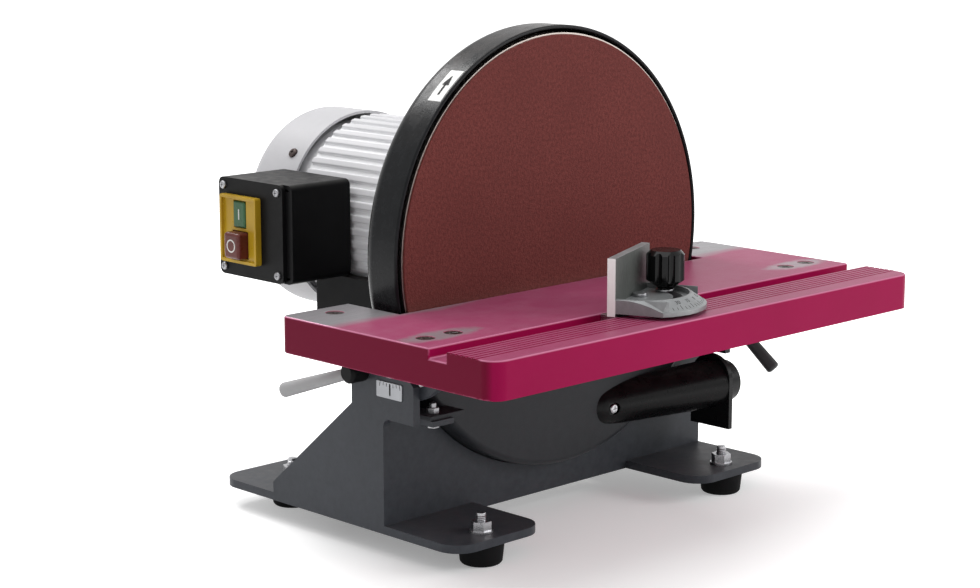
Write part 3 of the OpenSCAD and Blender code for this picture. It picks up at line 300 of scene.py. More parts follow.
def make_wear_group():
    """Broken rubbing along the rounded edges."""
    tree, entry, leave = new_group("edge_rub", [
        ("Amount", "NodeSocketFloat", 0.5), ("Scale", "NodeSocketFloat", 160.0)], [
        ("Rub", "NodeSocketFloat")])
    edge = put(tree, "ShaderNodeAttribute", {"attribute_name": "edge"})
    broken = spread(tree, noise(tree, object_point(tree), entry.outputs["Scale"], 5.0, 0.65), 0.48, 0.62)
    rub = calc(tree, "MULTIPLY", times(tree, edge.outputs["Fac"], broken), entry.outputs["Amount"], True)
    tree.links.new(rub, leave.inputs["Rub"])
    return tree


def make_dust_group():
    """Fine dust on faces that look up."""
    tree, entry, leave = new_group("settled_dust", [
        ("Amount", "NodeSocketFloat", 0.2)], [("Dust", "NodeSocketFloat")])
    up = put(tree, "ShaderNodeSeparateXYZ", Vector=own_normal(tree)).outputs["Z"]
    drift = noise(tree, object_point(tree), 60.0, 6.0, 0.7)
    lie = times(tree, spread(tree, up, 0.5, 1.0), spread(tree, drift, 0.35, 0.75))
    tree.links.new(calc(tree, "MULTIPLY", lie, entry.outputs["Amount"], True), leave.inputs["Dust"])
    return tree


def make_brush_group():
    """Fine parallel tool marks. Stretch is the pattern's scale along each axis."""
    tree, entry, leave = new_group("tool_marks", [
        ("Stretch", "NodeSocketVector", (1.0, 60.0, 60.0))], [
        ("Marks", "NodeSocketFloat"), ("Stain", "NodeSocketFloat")])
    point = object_point(tree)
    stretched = put(tree, "ShaderNodeVectorMath", {"operation": "MULTIPLY"})
    tree.links.new(point, stretched.inputs[0])
    tree.links.new(entry.outputs["Stretch"], stretched.inputs[1])
    fine = noise(tree, stretched.outputs[0], 40.0, 5.0, 0.7)
    stain = noise(tree, point, 35.0, 4.0, 0.6)
    tree.links.new(spread(tree, fine, 0.3, 0.7), leave.inputs["Marks"])
    tree.links.new(spread(tree, stain, 0.35, 0.7), leave.inputs["Stain"])
    return tree


SKIN = make_skin_group()
WEAR = make_wear_group()
DUST = make_dust_group()
BRUSH = make_brush_group()


def use(tree, group, **inputs):
    node = tree.nodes.new("ShaderNodeGroup")
    node.node_tree = group
    for key, value in inputs.items():
        node.inputs[key.replace("_", " ")].default_value = value
    return node.outputs


def start_material(name):
    material = bpy.data.materials.new(name)
    material.use_nodes = True
    return material, material.node_tree, material.node_tree.nodes["Principled BSDF"]


def bump(tree, shader, height, strength, depth):
    node = put(tree, "ShaderNodeBump", Strength=strength, Distance=depth, Height=height)
    tree.links.new(node.outputs["Normal"], shader.inputs["Normal"])


def fin_valleys(tree):
    """1 on the belt between the motor's cooling fins, 0 on their crests: where light is painted into the
    fins' shade.
    """
    point = put(tree, "ShaderNodeSeparateXYZ", Vector=object_point(tree)).outputs
    beside = calc(tree, "POWER", point["X"], 2.0)
    above = calc(tree, "POWER", calc(tree, "SUBTRACT", point["Z"], AXIS_Z * MM), 2.0)
    radius = calc(tree, "SQRT", calc(tree, "ADD", beside, above))
    return spread(tree, radius, FIN_CREST_R * MM, FIN_VALLEY_R * MM)


def painted(name, colour, shade, rub, rough=0.4, shine=0.2, dust=0.12, valley_painted_light=None):
    """Sprayed paint: two near tones in patches, pebbled skin, rubbed edges and a little dust.

    Between the motor's fins it takes a lighter colour, if one is given: painted light that lifts the shade
    the fins throw on each other.
    """
    material, tree, shader = start_material(name)
    skin = use(tree, SKIN, Patch_Scale=9.0)
    worn = use(tree, WEAR, Amount=0.4)["Rub"]
    lying = use(tree, DUST, Amount=dust)["Dust"]
    base = blend_colour(tree, times(tree, skin["Patch"], 0.8), colour, shade)
    base = blend_colour(tree, times(tree, skin["Mottle"], 0.18), base, rub)
    base = blend_colour(tree, worn, base, rub)
    if valley_painted_light:
        # Painted light: the valleys between the fins are lifted to a lighter colour.
        base = blend_colour(tree, fin_valleys(tree), base, valley_painted_light)
    base = blend_colour(tree, lying, base, tint(150, 140, 135))
    tree.links.new(base, shader.inputs["Base Color"])
    roughness = calc(tree, "ADD", spread(tree, skin["Mottle"], 0.0, 1.0, rough - 0.05, rough + 0.07),
                     times(tree, lying, 0.4), True)
    tree.links.new(roughness, shader.inputs["Roughness"])
    shader.inputs["Specular IOR Level"].default_value = shine
    bump(tree, shader, skin["Peel"], 0.12, 0.4 * MM)
    return material


def bare_metal(name, colour, shade, rough, stretch=(1.0, 60.0, 60.0), metallic=1.0):
    """Bare or plated metal with tool marks and faint stains."""
    material, tree, shader = start_material(name)
    brush = use(tree, BRUSH, Stretch=stretch)
    worn = use(tree, WEAR, Amount=0.5)["Rub"]
    base = blend_colour(tree, times(tree, brush["Stain"], 0.7), colour, shade)
    base = blend_colour(tree, times(tree, brush["Marks"], 0.25), base, shade)
    base = blend_colour(tree, worn, base, tint(225, 225, 228))
    tree.links.new(base, shader.inputs["Base Color"])
    roughness = spread(tree, brush["Marks"], 0.0, 1.0, rough - 0.07, rough + 0.1)
    tree.links.new(roughness, shader.inputs["Roughness"])
    shader.inputs["Metallic"].default_value = metallic
    bump(tree, shader, brush["Marks"], 0.12, 0.2 * MM)
    return material


def rubbed_tone(colour):
    """The paler tone of a rubbed plastic edge."""
    return tuple(min(1.0, c * 1.5 + 0.02) for c in colour[:3]) + (1.0,)


def moulded(name, colour, shade, rough, grain=0.15, shine=0.15):
    """Moulded plastic or rubber with a fine matt texture."""
    material, tree, shader = start_material(name)
    skin = use(tree, SKIN, Patch_Scale=25.0, Peel_Scale=1600.0)
    worn = use(tree, WEAR, Amount=0.3)["Rub"]
    lying = use(tree, DUST, Amount=0.1)["Dust"]
    base = blend_colour(tree, skin["Patch"], colour, shade)
    base = blend_colour(tree, worn, base, rubbed_tone(colour))
    base = blend_colour(tree, lying, base, tint(150, 145, 140))
    tree.links.new(base, shader.inputs["Base Color"])
    roughness = spread(tree, skin["Mottle"], 0.0, 1.0, rough - 0.06, rough + 0.06)
    tree.links.new(roughness, shader.inputs["Roughness"])
    shader.inputs["Specular IOR Level"].default_value = shine
    bump(tree, shader, skin["Peel"], grain, 0.3 * MM)
    return material


base_grey = painted("base_grey_paint", tint(56, 59, 65), tint(46, 49, 54), tint(96, 99, 104), rough=0.42)
# The guard's dust is raised, so its faces looking up come out lighter: partly settled dust, partly a painted
# highlight on the guard's top.
guard_black = painted("guard_black_paint", tint(19, 20, 22), tint(14, 15, 17), tint(44, 46, 49),
                      rough=0.25, shine=0.13, dust=0.2)
pan_grey = painted("pan_grey_paint", tint(42, 44, 48), tint(35, 37, 40), tint(76, 78, 82), rough=0.45)
motor_grey = painted("motor_grey_paint", tint(192, 191, 194), tint(184, 183, 186), tint(208, 208, 210),
                     rough=0.45, dust=0.05)
# The fin belt's paint is a lighter copy of the motor's grey, with still lighter valleys: painted light
# against the fins' own shade.
fin_grey_painted_light = painted("fin_grey_paint_painted_light", tint(212, 211, 214), tint(206, 205, 208), tint(220, 220, 222),
                   rough=0.5, dust=0.03, valley_painted_light=tint(236, 236, 238))
cradle_black = painted("cradle_black_paint", tint(15, 15, 16), tint(12, 12, 13), tint(44, 44, 46),
                       rough=0.55, shine=0.08)
plain_black = moulded("black_plastic", tint(21, 21, 22), tint(17, 17, 18), rough=0.42, shine=0.08)
chute_black = moulded("chute_black_plastic", tint(16, 16, 17), tint(12, 12, 13), rough=0.3, shine=0.16)
knob_black = moulded("knob_black_plastic", tint(11, 11, 12), tint(8, 8, 9),
                     rough=0.13, grain=0.02, shine=0.17)
foot_rubber = moulded("foot_rubber", tint(22, 22, 23), tint(17, 17, 18), rough=0.75, grain=0.3, shine=0.1)
yellow_mould = moulded("yellow_plastic", tint(194, 158, 38), tint(172, 136, 28),
                       rough=0.32, grain=0.05, shine=0.25)
green_mould = moulded("green_plastic", tint(54, 98, 62), tint(44, 84, 52),
                      rough=0.28, grain=0.05, shine=0.25)
red_mould = moulded("red_plastic", tint(96, 40, 34), tint(78, 31, 26), rough=0.3, grain=0.05, shine=0.25)
lever_grey = moulded("lever_grey_grip", tint(172, 172, 173), tint(158, 158, 159), rough=0.4, shine=0.3)
lever_dark = moulded("lever_dark_grip", tint(74, 75, 76), tint(60, 61, 62), rough=0.42)
zinc = bare_metal("zinc_steel", tint(196, 196, 198), tint(150, 150, 154), rough=0.28)
turned_aluminium = bare_metal("turned_aluminium", tint(200, 190, 183), tint(170, 161, 155), rough=0.3)
dull_zinc = bare_metal("dull_zinc_screws", tint(168, 168, 170), tint(124, 124, 128), rough=0.4)
dark_zinc = bare_metal("blackened_screws", tint(84, 74, 72), tint(56, 49, 48), rough=0.42)
mark_black = moulded("print_black", tint(26, 26, 28), tint(38, 38, 40), rough=0.6, grain=0.05)
mark_white = moulded("print_white", tint(226, 224, 220), tint(206, 204, 200), rough=0.5, grain=0.05)
pointer_pale = moulded("pointer_pale_paint", tint(232, 226, 228), tint(216, 210, 212),
                       rough=0.35, grain=0.03)
plate_white = moulded("plate_white", tint(238, 238, 236), tint(226, 226, 224), rough=0.35, grain=0.03)
scale_metal = bare_metal("scale_plate", tint(176, 178, 182), tint(150, 152, 156), rough=0.42, metallic=0.4)
dark_steel = bare_metal("dark_steel", tint(120, 121, 124), tint(90, 91, 94), rough=0.4)
copper = bare_metal("winding_copper", tint(190, 112, 60), tint(150, 84, 40),
                    rough=0.35, stretch=(40.0, 2.0, 40.0))


def along(tree, vector, direction):
    """How far a vector reaches along a direction of the piece's own frame."""
    dot = put(tree, "ShaderNodeVectorMath", {"operation": "DOT_PRODUCT"})
    tree.links.new(vector, dot.inputs[0])
    dot.inputs[1].default_value = direction
    return dot.outputs["Value"]


def aimed(tree, direction):
    """How far the surface looks along a direction, either way."""
    return calc(tree, "ABSOLUTE", along(tree, own_normal(tree), direction))


# The mitre gauge at rest: its head's turn and pivot, the fence's outward and long directions, its setback
# from the pivot in millimetres, and how far out its face lies in metres
HEAD_TURN = math.radians(-67)
HEAD_PIVOT = at(-28.0, -107.0, 175.5)
FENCE_OUT = (math.cos(HEAD_TURN), math.sin(HEAD_TURN), 0.0)
FENCE_ALONG = (math.sin(HEAD_TURN), -math.cos(HEAD_TURN), 0.0)
FENCE_SETBACK = 5.6
FENCE_FACE = Vector(FENCE_OUT).dot(HEAD_PIVOT) - FENCE_SETBACK * MM


def make_gauge_finish():
    """Cast aluminium, satin, with painted light: a painted dark reflection in grey on the fence's broad
    sides, a painted near-white highlight on its milled ends.
    """
    material, tree, shader = start_material("gauge_aluminium")
    brush = use(tree, BRUSH, Stretch=(20.0, 20.0, 3.0))
    skin = use(tree, SKIN, Patch_Scale=40.0, Peel_Scale=1200.0)
    worn = use(tree, WEAR, Amount=0.6)["Rub"]
    across = along(tree, object_point(tree), FENCE_OUT)
    fence = spread(tree, across, FENCE_FACE + 0.3 * MM, FENCE_FACE - 0.3 * MM)
    fence_side = spread(tree, across, FENCE_FACE + 0.8 * MM, FENCE_FACE + 0.4 * MM)
    end = times(tree, spread(tree, aimed(tree, FENCE_ALONG), 0.90, 0.97), fence)
    side = times(tree, spread(tree, aimed(tree, FENCE_OUT), 0.90, 0.97), fence_side)
    side_painted_dark_reflection = blend_colour(tree, skin["Patch"], tint(84, 87, 84), tint(66, 69, 67))
    base = blend_colour(tree, brush["Stain"], tint(146, 148, 149), tint(122, 124, 125))
    base = blend_colour(tree, times(tree, skin["Mottle"], 0.3), base, tint(112, 114, 116))
    # Painted dark reflection: the fence's broad sides are painted a dark grey.
    base = blend_colour(tree, side, base, side_painted_dark_reflection)
    # Painted highlight: the fence's milled ends are painted near white, without metal shine.
    base = blend_colour(tree, end, base, tint(255, 254, 252))
    base = blend_colour(tree, worn, base, tint(228, 228, 230))
    tree.links.new(base, shader.inputs["Base Color"])
    tree.links.new(spread(tree, brush["Marks"], 0.0, 1.0, 0.34, 0.5), shader.inputs["Roughness"])
    plain = calc(tree, "MAXIMUM", side, end)
    tree.links.new(spread(tree, plain, 0.0, 1.0, 0.4, 0.0), shader.inputs["Metallic"])
    bump(tree, shader, calc(tree, "ADD", brush["Marks"], skin["Peel"]), 0.12, 0.3 * MM)
    return material


gauge_metal = make_gauge_finish()

# The table's bare metal, in millimetres: where the paint ends at the disc's face, how ragged that line is,
# and the rubbed patch round each pair of front screws with its half lengths
BARE_FROM_Y, BARE_TO_Y = -11.25, 4.75
BARE_RAGGED = 22.0
PATCH_X, PATCH_Y = 188.0, -74.0
PATCH_HALF_X, PATCH_HALF_Y = 34.0, 12.0


def bare_ground(tree, skin):
    """1 where the table's paint is worn off or was never put on, as seen from above."""
    point = put(tree, "ShaderNodeSeparateXYZ", Vector=object_point(tree)).outputs
    blot = times(tree, spread(tree, skin["Patch"], 0.0, 1.0, -0.5, 0.5), BARE_RAGGED * MM)
    wing = spread(tree, calc(tree, "ADD", point["Y"], blot),
                  (BARE_FROM_Y + FACE_Y) * MM, (BARE_TO_Y + FACE_Y) * MM)
    aside = calc(tree, "SUBTRACT", calc(tree, "ABSOLUTE", point["X"]), PATCH_X * MM)
    ahead = calc(tree, "SUBTRACT", point["Y"], (PATCH_Y + FACE_Y) * MM)
    off = calc(tree, "ADD", calc(tree, "POWER", calc(tree, "DIVIDE", aside, PATCH_HALF_X * MM), 2.0),
               calc(tree, "POWER", calc(tree, "DIVIDE", ahead, PATCH_HALF_Y * MM), 2.0))
    patch = spread(tree, calc(tree, "ADD", off, times(tree, skin["Mottle"], 0.5)), 1.5, 0.6)
    return calc(tree, "MAXIMUM", wing, times(tree, patch, 0.75))


def make_table_finish():
    """Magenta paint on a ground casting. Behind the disc's face the top is left as bare grey metal."""
    material, tree, shader = start_material("table_magenta_paint")
    skin = use(tree, SKIN, Patch_Scale=7.0, Peel_Scale=900.0)
    brush = use(tree, BRUSH, Stretch=(1.5, 45.0, 45.0))
    worn = use(tree, WEAR, Amount=0.2)["Rub"]
    lying = use(tree, DUST, Amount=0.1)["Dust"]
    facing = put(tree, "ShaderNodeSeparateXYZ", Vector=own_normal(tree)).outputs
    top = spread(tree, facing["Z"], 0.6, 0.95)
    left = spread(tree, facing["X"], -0.75, -0.95)
    marked = times(tree, times(tree, top, brush["Marks"]), 0.3)
    bare = times(tree, bare_ground(tree, skin), top)
    paint = blend_colour(tree, skin["Patch"], tint(157, 10, 73), tint(146, 8, 66))
    # Painted shade: faces looking to the left are painted darker.
    paint = blend_colour(tree, times(tree, left, 0.85), paint, tint(98, 6, 36))
    # Painted sheen: faces looking up are painted a paler, greyer pink, the room's reflection at a grazing
    # angle.
    paint = blend_colour(tree, times(tree, top, 0.65), paint, tint(138, 68, 97))
    paint = blend_colour(tree, marked, paint, tint(180, 112, 142))
    metal = blend_colour(tree, brush["Marks"], tint(166, 164, 167), tint(136, 134, 137))
    base = blend_colour(tree, bare, paint, metal)
    # Painted highlight: a pale pink line along the rounded edges that look up, joined with the real rubbed
    # wear.
    line = put(tree, "ShaderNodeAttribute", {"attribute_name": "edge"}).outputs["Fac"]
    line = times(tree, line, spread(tree, facing["Z"], 0.1, 0.6, 0.0, 0.5))
    base = blend_colour(tree, calc(tree, "MAXIMUM", line, worn), base, tint(222, 150, 182))
    base = blend_colour(tree, lying, base, tint(190, 160, 172))
    tree.links.new(base, shader.inputs["Base Color"])
    tree.links.new(spread(tree, brush["Marks"], 0.0, 1.0, 0.3, 0.44), shader.inputs["Roughness"])
    tree.links.new(times(tree, bare, 0.6), shader.inputs["Metallic"])
    shader.inputs["Specular IOR Level"].default_value = 0.06
    ground = times(tree, brush["Marks"], times(tree, top, 0.6))
    bump(tree, shader, calc(tree, "ADD", ground, times(tree, skin["Peel"], 0.4)), 0.12, 0.3 * MM)
    return material


def make_abrasive_finish():
    """Red-brown grain on cloth: packed grit with dark gaps, pale sharp points and broad worn patches."""
    material, tree, shader = start_material("abrasive_grain")
    point = object_point(tree)
    grit = put(tree, "ShaderNodeTexVoronoi", Vector=point, Scale=900.0).outputs["Distance"]
    gaps = spread(tree, noise(tree, point, 420.0, 5.0, 0.75), 0.4, 0.6)
    patches = spread(tree, noise(tree, point, 16.0, 4.0, 0.6), 0.3, 0.7)
    points = times(tree, spread(tree, grit, 0.25, 0.0), 0.35)
    body = blend_colour(tree, patches, tint(118, 57, 53), tint(106, 49, 46))
    body = blend_colour(tree, gaps, body, tint(92, 41, 38))
    body = blend_colour(tree, points, body, tint(166, 104, 96))
    tree.links.new(body, shader.inputs["Base Color"])
    shader.inputs["Roughness"].default_value = 0.85
    shader.inputs["Specular IOR Level"].default_value = 0.25
    bump(tree, shader, grit, 0.6, 0.4 * MM)
    return material


table_magenta = make_table_finish()
abrasive_grain = make_abrasive_finish()

FINISH = {
    "base_paint": base_grey, "guard_paint": guard_black, "pan_paint": pan_grey,
    "motor_paint": motor_grey, "table_paint": table_magenta, "black_plastic": plain_black,
    "black_iron": cradle_black, "rubber": foot_rubber, "steel": zinc,
    "disc_aluminium": turned_aluminium, "gauge_aluminium": gauge_metal, "abrasive": abrasive_grain,
    "core_steel": dark_steel, "winding_copper": copper, "yellow_plastic": yellow_mould,
    "green_plastic": green_mould, "red_plastic": red_mould, "lever_grey": lever_grey,
    "lever_dark": lever_dark, "scale_plate": scale_metal,
}

for name, node in frame["nodes"].items():
    node.data.materials.clear()
    node.data.materials.append(FINISH[node_slot[name]])

# Pieces of the machine with their edges rounded: rounding in millimetres and its steps

ROUNDED = {
    "base": (1.2, 3), "rubber_feet": (1.2, 3), "foot_nuts": (0.5, 2), "tab_bolt": (0.4, 2),
    "disc_guard": (0.5, 2), "lower_guard": (0.8, 2), "dust_chute": (0.9, 3), "dust_outlet": (0.7, 2),
    "motor_cradle": (1.4, 3), "front_bell": (1.2, 3), "fan_cover": (0.6, 2),
    "switch_box": (1.0, 3), "switch_cover": (1.2, 3), "switch_frame": (0.7, 2), "cable_gland": (0.5, 2),
    "trunnion_left": (0.8, 2), "trunnion_right": (0.8, 2),
    "lever_hub_left": (0.6, 2), "lever_hub_right": (0.6, 2),
    "lever_handle_left": (0.4, 2), "lever_handle_right": (0.4, 2),
    "miter_bar": (0.5, 2), "miter_head": (0.6, 2),
    "miter_knob": (1.0, 3), "on_button": (1.6, 4), "off_button": (2.6, 5), "lock_washers": (0.4, 2),
    "scale_pointer": (0.4, 2), "angle_scale": (0.2, 1), "disc_plate": (0.6, 2), "abrasive_disc": (0.3, 1),
    "cradle_bolts": (0.5, 2), "miter_stud": (0.3, 2), "miter_pivot": (0.4, 2),
}


def fin_edge(middle, edge):
    """Rounds the long edges of the cooling fins and of the belt they stand on."""
    run = edge.verts[0].co - edge.verts[1].co
    radius = math.hypot(middle.x / MM, middle.z / MM - AXIS_Z)
    lengthwise = abs(run.y) > 0.9 * run.length and run.length > FIN_MIN_LENGTH * MM
    return 1.0 if radius > FIN_BELT_R and lengthwise else 0.0


dressed("motor_frame", fin_grey_painted_light, 1.2, 4, fin_edge, limit=False)

OWN_FINISH = {"scale_pointer": pointer_pale, "miter_knob": knob_black, "tab_bolt": dull_zinc,
              "dust_chute": chute_black, "dust_outlet": chute_black}
for name, (width, steps) in ROUNDED.items():
    dressed(name, OWN_FINISH.get(name, FINISH[node_slot[name]]), width, steps)


def table_edge(middle, edge):
    """Full rounding outside and along the mitre slot, little at the disc, none in grooves, seats and ribs."""
    x = abs(middle.x / MM)
    y = middle.y / MM - FACE_Y
    z = middle.z / MM
    in_groove = GROOVES_FROM_Y < y < GROOVES_TO_Y and z > TABLE_Z - 1.0
    in_seat = any(math.hypot(x - screw_x, y - screw_y) < SCREW_SEAT_R for screw_x, screw_y in TABLE_SCREWS)
    on_ribs = z < TABLE_Z - PLATE_THICK and x < TABLE_END_X
    if in_groove or in_seat or on_ribs:
        return 0.0
    if x < NOTCH_X and y > NOTCH_Y:
        return 0.2
    return 1.0


dressed("table", table_magenta, 1.4, 3, table_edge, limit=False)

# Screws, studs and marks, modelled for this machine


def added(name):
    """The piece that was just made, under its name."""
    piece = bpy.context.active_object
    piece.name = name
    return piece


def grow(steps):
    """Draws the selected face on in steps of its rise in millimetres and the size of its rim."""
    for rise, size in steps:
        bpy.ops.mesh.extrude_region_move(TRANSFORM_OT_translate={"value": (0.0, 0.0, rise * MM)})
        bpy.ops.transform.resize(value=(size, size, 1.0))


# Screw heads: sides of the round, half width of a recess arm in degrees, and how far the rest is drawn in
SCREW_SIDES = 40
CROSS_ARM = 12
CROSS_WAIST = 0.36


def turned_screw(name, shank_r, shank_len, head, reach, depth):
    """A screw on the Z axis, its shank below the origin and its head above.

    The head grows in the given steps and gets a cross recess of the given reach and depth.
    """
    bpy.ops.object.select_all(action="DESELECT")
    bpy.ops.mesh.primitive_cylinder_add(vertices=SCREW_SIDES, radius=shank_r * MM, depth=shank_len * MM,
                                        location=(0.0, 0.0, -shank_len * MM / 2))
    screw = added(name)
    settle(screw)
    bm = open_mesh(screw)
    select_faces(bm, screw, lambda face: face.normal.z > 0.9)
    grow(head)
    rim = shank_r * math.prod(size for rise, size in head)
    top = sum(rise for rise, size in head)
    grow([(0.0, reach / rim)])
    pinch_cross(screw, top)
    grow([(-depth, 0.8)])
    close_mesh()
    round_edges(screw, 0.1, 2)
    return screw


def pinch_cross(screw, top):
    """Draws a round face in between its four arms, so that it becomes a cross."""
    bm = bmesh.from_edit_mesh(screw.data)
    face = [f for f in bm.faces if f.select][0]
    for vert in face.verts:
        turn = math.degrees(math.atan2(vert.co.y, vert.co.x))
        vert.select_set(abs((turn + 45) % 90 - 45) >= CROSS_ARM)
    bm.select_flush_mode()
    bmesh.update_edit_mesh(screw.data)
    bpy.ops.transform.resize(value=(CROSS_WAIST, CROSS_WAIST, 1.0), center_override=(0.0, 0.0, top * MM))
    bm = bmesh.from_edit_mesh(screw.data)
    select_faces(bm, screw, lambda f: len(f.verts) == SCREW_SIDES and f.normal.z > 0.9
                 and f.calc_center_median().z > -MM)


def pan_screw(name, head_r, head_h, shank_r, shank_len):
    """A screw with a low domed head."""
    dome = [(0.0, head_r / shank_r), (0.4 * head_h, 1.0), (0.3 * head_h, 0.93),
            (0.2 * head_h, 0.86), (0.1 * head_h, 0.85)]
    return turned_screw(name, shank_r, shank_len, dome, 0.58 * head_r, 0.55 * head_h)


def countersunk_screw(name, head_r, head_h, shank_r, shank_len):
    """A screw with a flat countersunk head."""
    cone = [(head_h, head_r / shank_r), (0.3, 1.0)]
    return turned_screw(name, shank_r, shank_len, cone, 0.6 * head_r, 0.6 * head_h)


def standing(place, direction):
    """The place of a piece whose own Z axis points along direction."""
    return Matrix.Translation(place) @ Vector(direction).to_track_quat("Z", "Y").to_matrix().to_4x4()


def outward(turn):
    """The direction away from the disc's axis, turn degrees up from the right."""
    a = math.radians(turn)
    return Vector((math.cos(a), 0.0, math.sin(a)))


def on_ring(turn, y, radius):
    """A place round the disc's axis."""
    return at(0.0, y, AXIS_Z) + outward(turn) * radius * MM


def set_out(model, name, places):
    """One copy of the model at each place, joined into a single piece. The model itself goes."""
    row = []
    for place in places:
        copy = bpy.data.objects.new(name, model.data.copy())
        bpy.context.scene.collection.objects.link(copy)
        copy.matrix_world = place
        settle(copy)
        row.append(copy)
    bpy.data.objects.remove(model)
    pick(*row)
    if len(row) > 1:
        bpy.ops.object.join()
    piece = row[0]
    piece.name = name
    return piece


LID_X, LID_SCREWS_Y, LID_SCREWS_Z = -140.0, (151.0, 214.0), (176.5, 238.5)
lid_screw = pan_screw("lid_screw", head_r=3.1, head_h=2.0, shank_r=1.75, shank_len=15.5)
places = [standing(at(LID_X, y, z), (-1, 0, 0)) for y in LID_SCREWS_Y for z in LID_SCREWS_Z]
fitted(set_out(lid_screw, "cover_screws_finished", places), "cover_screws", dull_zinc)

FAN_COVER_R, FAN_SCREWS_Y, FAN_SCREW_TURNS = 79.5, 226.0, (-39, -141, -219, -321)
fan_screw = pan_screw("fan_cover_screw", head_r=4.0, head_h=2.0, shank_r=2.0, shank_len=12.5)
places = [standing(on_ring(turn, FAN_SCREWS_Y, FAN_COVER_R), outward(turn)) for turn in FAN_SCREW_TURNS]
fitted(set_out(fan_screw, "fan_cover_screws_finished", places), "fan_cover_screws", dark_zinc)

GUARD_SCREWS_R, GUARD_BACK_Y, GUARD_SCREW_TURNS = 139.5, 38.0, (25, 58, 90, 122, 155)
guard_screw = pan_screw("guard_screw", head_r=3.8, head_h=2.4, shank_r=2.0, shank_len=6.0)
places = [standing(on_ring(turn, GUARD_BACK_Y, GUARD_SCREWS_R), (0, 1, 0)) for turn in GUARD_SCREW_TURNS]
fitted(set_out(guard_screw, "guard_screws_finished", places), "guard_screws", zinc)

CHUTE_SCREW = at(45.0, -16.4, 73.4)
duct_screw = pan_screw("duct_screw", head_r=3.8, head_h=1.8, shank_r=2.0, shank_len=8.4)
places = [standing(CHUTE_SCREW, (0, -1, 0))]
fitted(set_out(duct_screw, "chute_screw_finished", places), "chute_screw", zinc)

table_screw = countersunk_screw("table_screw", head_r=6.2, head_h=2.9, shank_r=3.0, shank_len=13.5)
places = [standing(at(side * x, y, TABLE_Z - SCREW_SEAT_DEPTH), (0, 0, 1))
          for side in (-1, 1) for x, y in TABLE_SCREWS]
fitted(set_out(table_screw, "table_screws_finished", places), "table_screws", dark_zinc)


def threaded_stud(name, radius, length, pitch):
    """A stud on the Z axis from the origin up, with a screw thread and a bevelled end."""
    bpy.ops.object.select_all(action="DESELECT")
    bpy.ops.mesh.primitive_circle_add(vertices=3, radius=pitch * MM / 1.8, rotation=(math.pi / 2, 0.0, 0.0),
                                      location=((radius - 0.62 * pitch) * MM, 0.0, pitch * MM))
    ridge = added(name)
    ridge.rotation_euler.y = math.radians(90)
    settle(ridge)
    mod = ridge.modifiers.new("thread", "SCREW")
    mod.axis = "Z"
    mod.screw_offset = pitch * MM
    mod.iterations = int(length / pitch) - 2
    mod.steps = mod.render_steps = 28
    apply_all(ridge)
    bpy.ops.object.select_all(action="DESELECT")
    bpy.ops.mesh.primitive_cylinder_add(vertices=32, radius=(radius - 0.55 * pitch) * MM, depth=length * MM,
                                        location=(0.0, 0.0, length * MM / 2))
    core = added("stud_core")
    settle(core)
    round_edges(core, 0.6, 2)
    pick(ridge, core)
    bpy.ops.object.join()
    return ridge


FEET_X, FEET_Y, STUD_Z = (-129.0, 129.0), (-52.5, 151.5), 4.0
foot_stud = threaded_stud("foot_stud", radius=4.0, length=32.0, pitch=1.25)
places = [Matrix.Translation(at(x, y, STUD_Z)) for x in FEET_X for y in FEET_Y]
fitted(set_out(foot_stud, "foot_studs_finished", places), "foot_studs", zinc)

# How thick the print is, in millimetres, on the scales and on the buttons
PRINT = 0.08
BUTTON_PRINT = 0.12

# A new plane before it is scaled, in metres
PLANE_SIZE = 1.0


def flat_mark(piece, thickness, edge=0.05):
    """Gives a flat outline the thickness of a thick coat of print, with soft edges."""
    mod = piece.modifiers.new("coat", "SOLIDIFY")
    mod.thickness = thickness * MM
    mod.offset = 1.0
    apply_all(piece)
    round_edges(piece, edge, 1)


def numeral(word, size):
    """A printed number standing on the XY plane, centred."""
    bpy.ops.object.select_all(action="DESELECT")
    bpy.ops.object.text_add()
    mark = added("numeral_" + word)
    mark.data.body = word
    mark.data.size = size * MM
    mark.data.align_x = "CENTER"
    mark.data.align_y = "CENTER"
    mark.data.extrude = 0.06 * MM
    bpy.ops.object.convert(target="MESH")
    return bpy.context.active_object


def stroke(name, width, length, thickness):
    """One printed line along Y on the XY plane, with rounded ends."""
    bpy.ops.object.select_all(action="DESELECT")
    bpy.ops.mesh.primitive_plane_add(size=PLANE_SIZE)
    line = added(name)
    line.scale = (width * MM, length * MM, 1.0)
    settle(line)
    open_mesh(line, "SELECT")
    bpy.ops.mesh.bevel(offset=width * 0.4 * MM, offset_pct=0.0, segments=3, affect="VERTICES")
    close_mesh()
    flat_mark(line, thickness)
    return line


def gather(name, pieces, body, material):
    """Joins the marks into one piece and finishes it."""
    pick(*pieces)
    if len(pieces) > 1:
        bpy.ops.object.join()
    pieces[0].name = name
    smooth(pieces[0])
    finish(pieces[0], body, material)


def put_at(piece, place):
    piece.matrix_world = place
    settle(piece)
    return piece


# Degree marks on the sloped rim of the mitre head

RIM_FOOT = Vector((45.0, 3.5))
RIM_TOP = Vector((35.5, 10.0))
RIM_TICK_START = 0.8
RIM_NUMERAL_RISE = 7.6


def rim_place(degrees, rise):
    """A place on the rim's slope, rise millimetres above its foot, reading from outside."""
    a = HEAD_TURN + math.radians(degrees)
    out = Vector((math.cos(a), math.sin(a), 0.0))
    along = Vector((-math.sin(a), math.cos(a), 0.0))
    slope = (RIM_TOP - RIM_FOOT).normalized()
    up = out * slope.x + Vector((0, 0, 1)) * slope.y
    face = out * slope.y - Vector((0, 0, 1)) * slope.x
    spot = RIM_FOOT + slope * rise
    place = Matrix((along, up, face)).transposed().to_4x4()
    place.translation = HEAD_PIVOT + (out * spot.x + Vector((0, 0, 1)) * spot.y) * MM
    return place


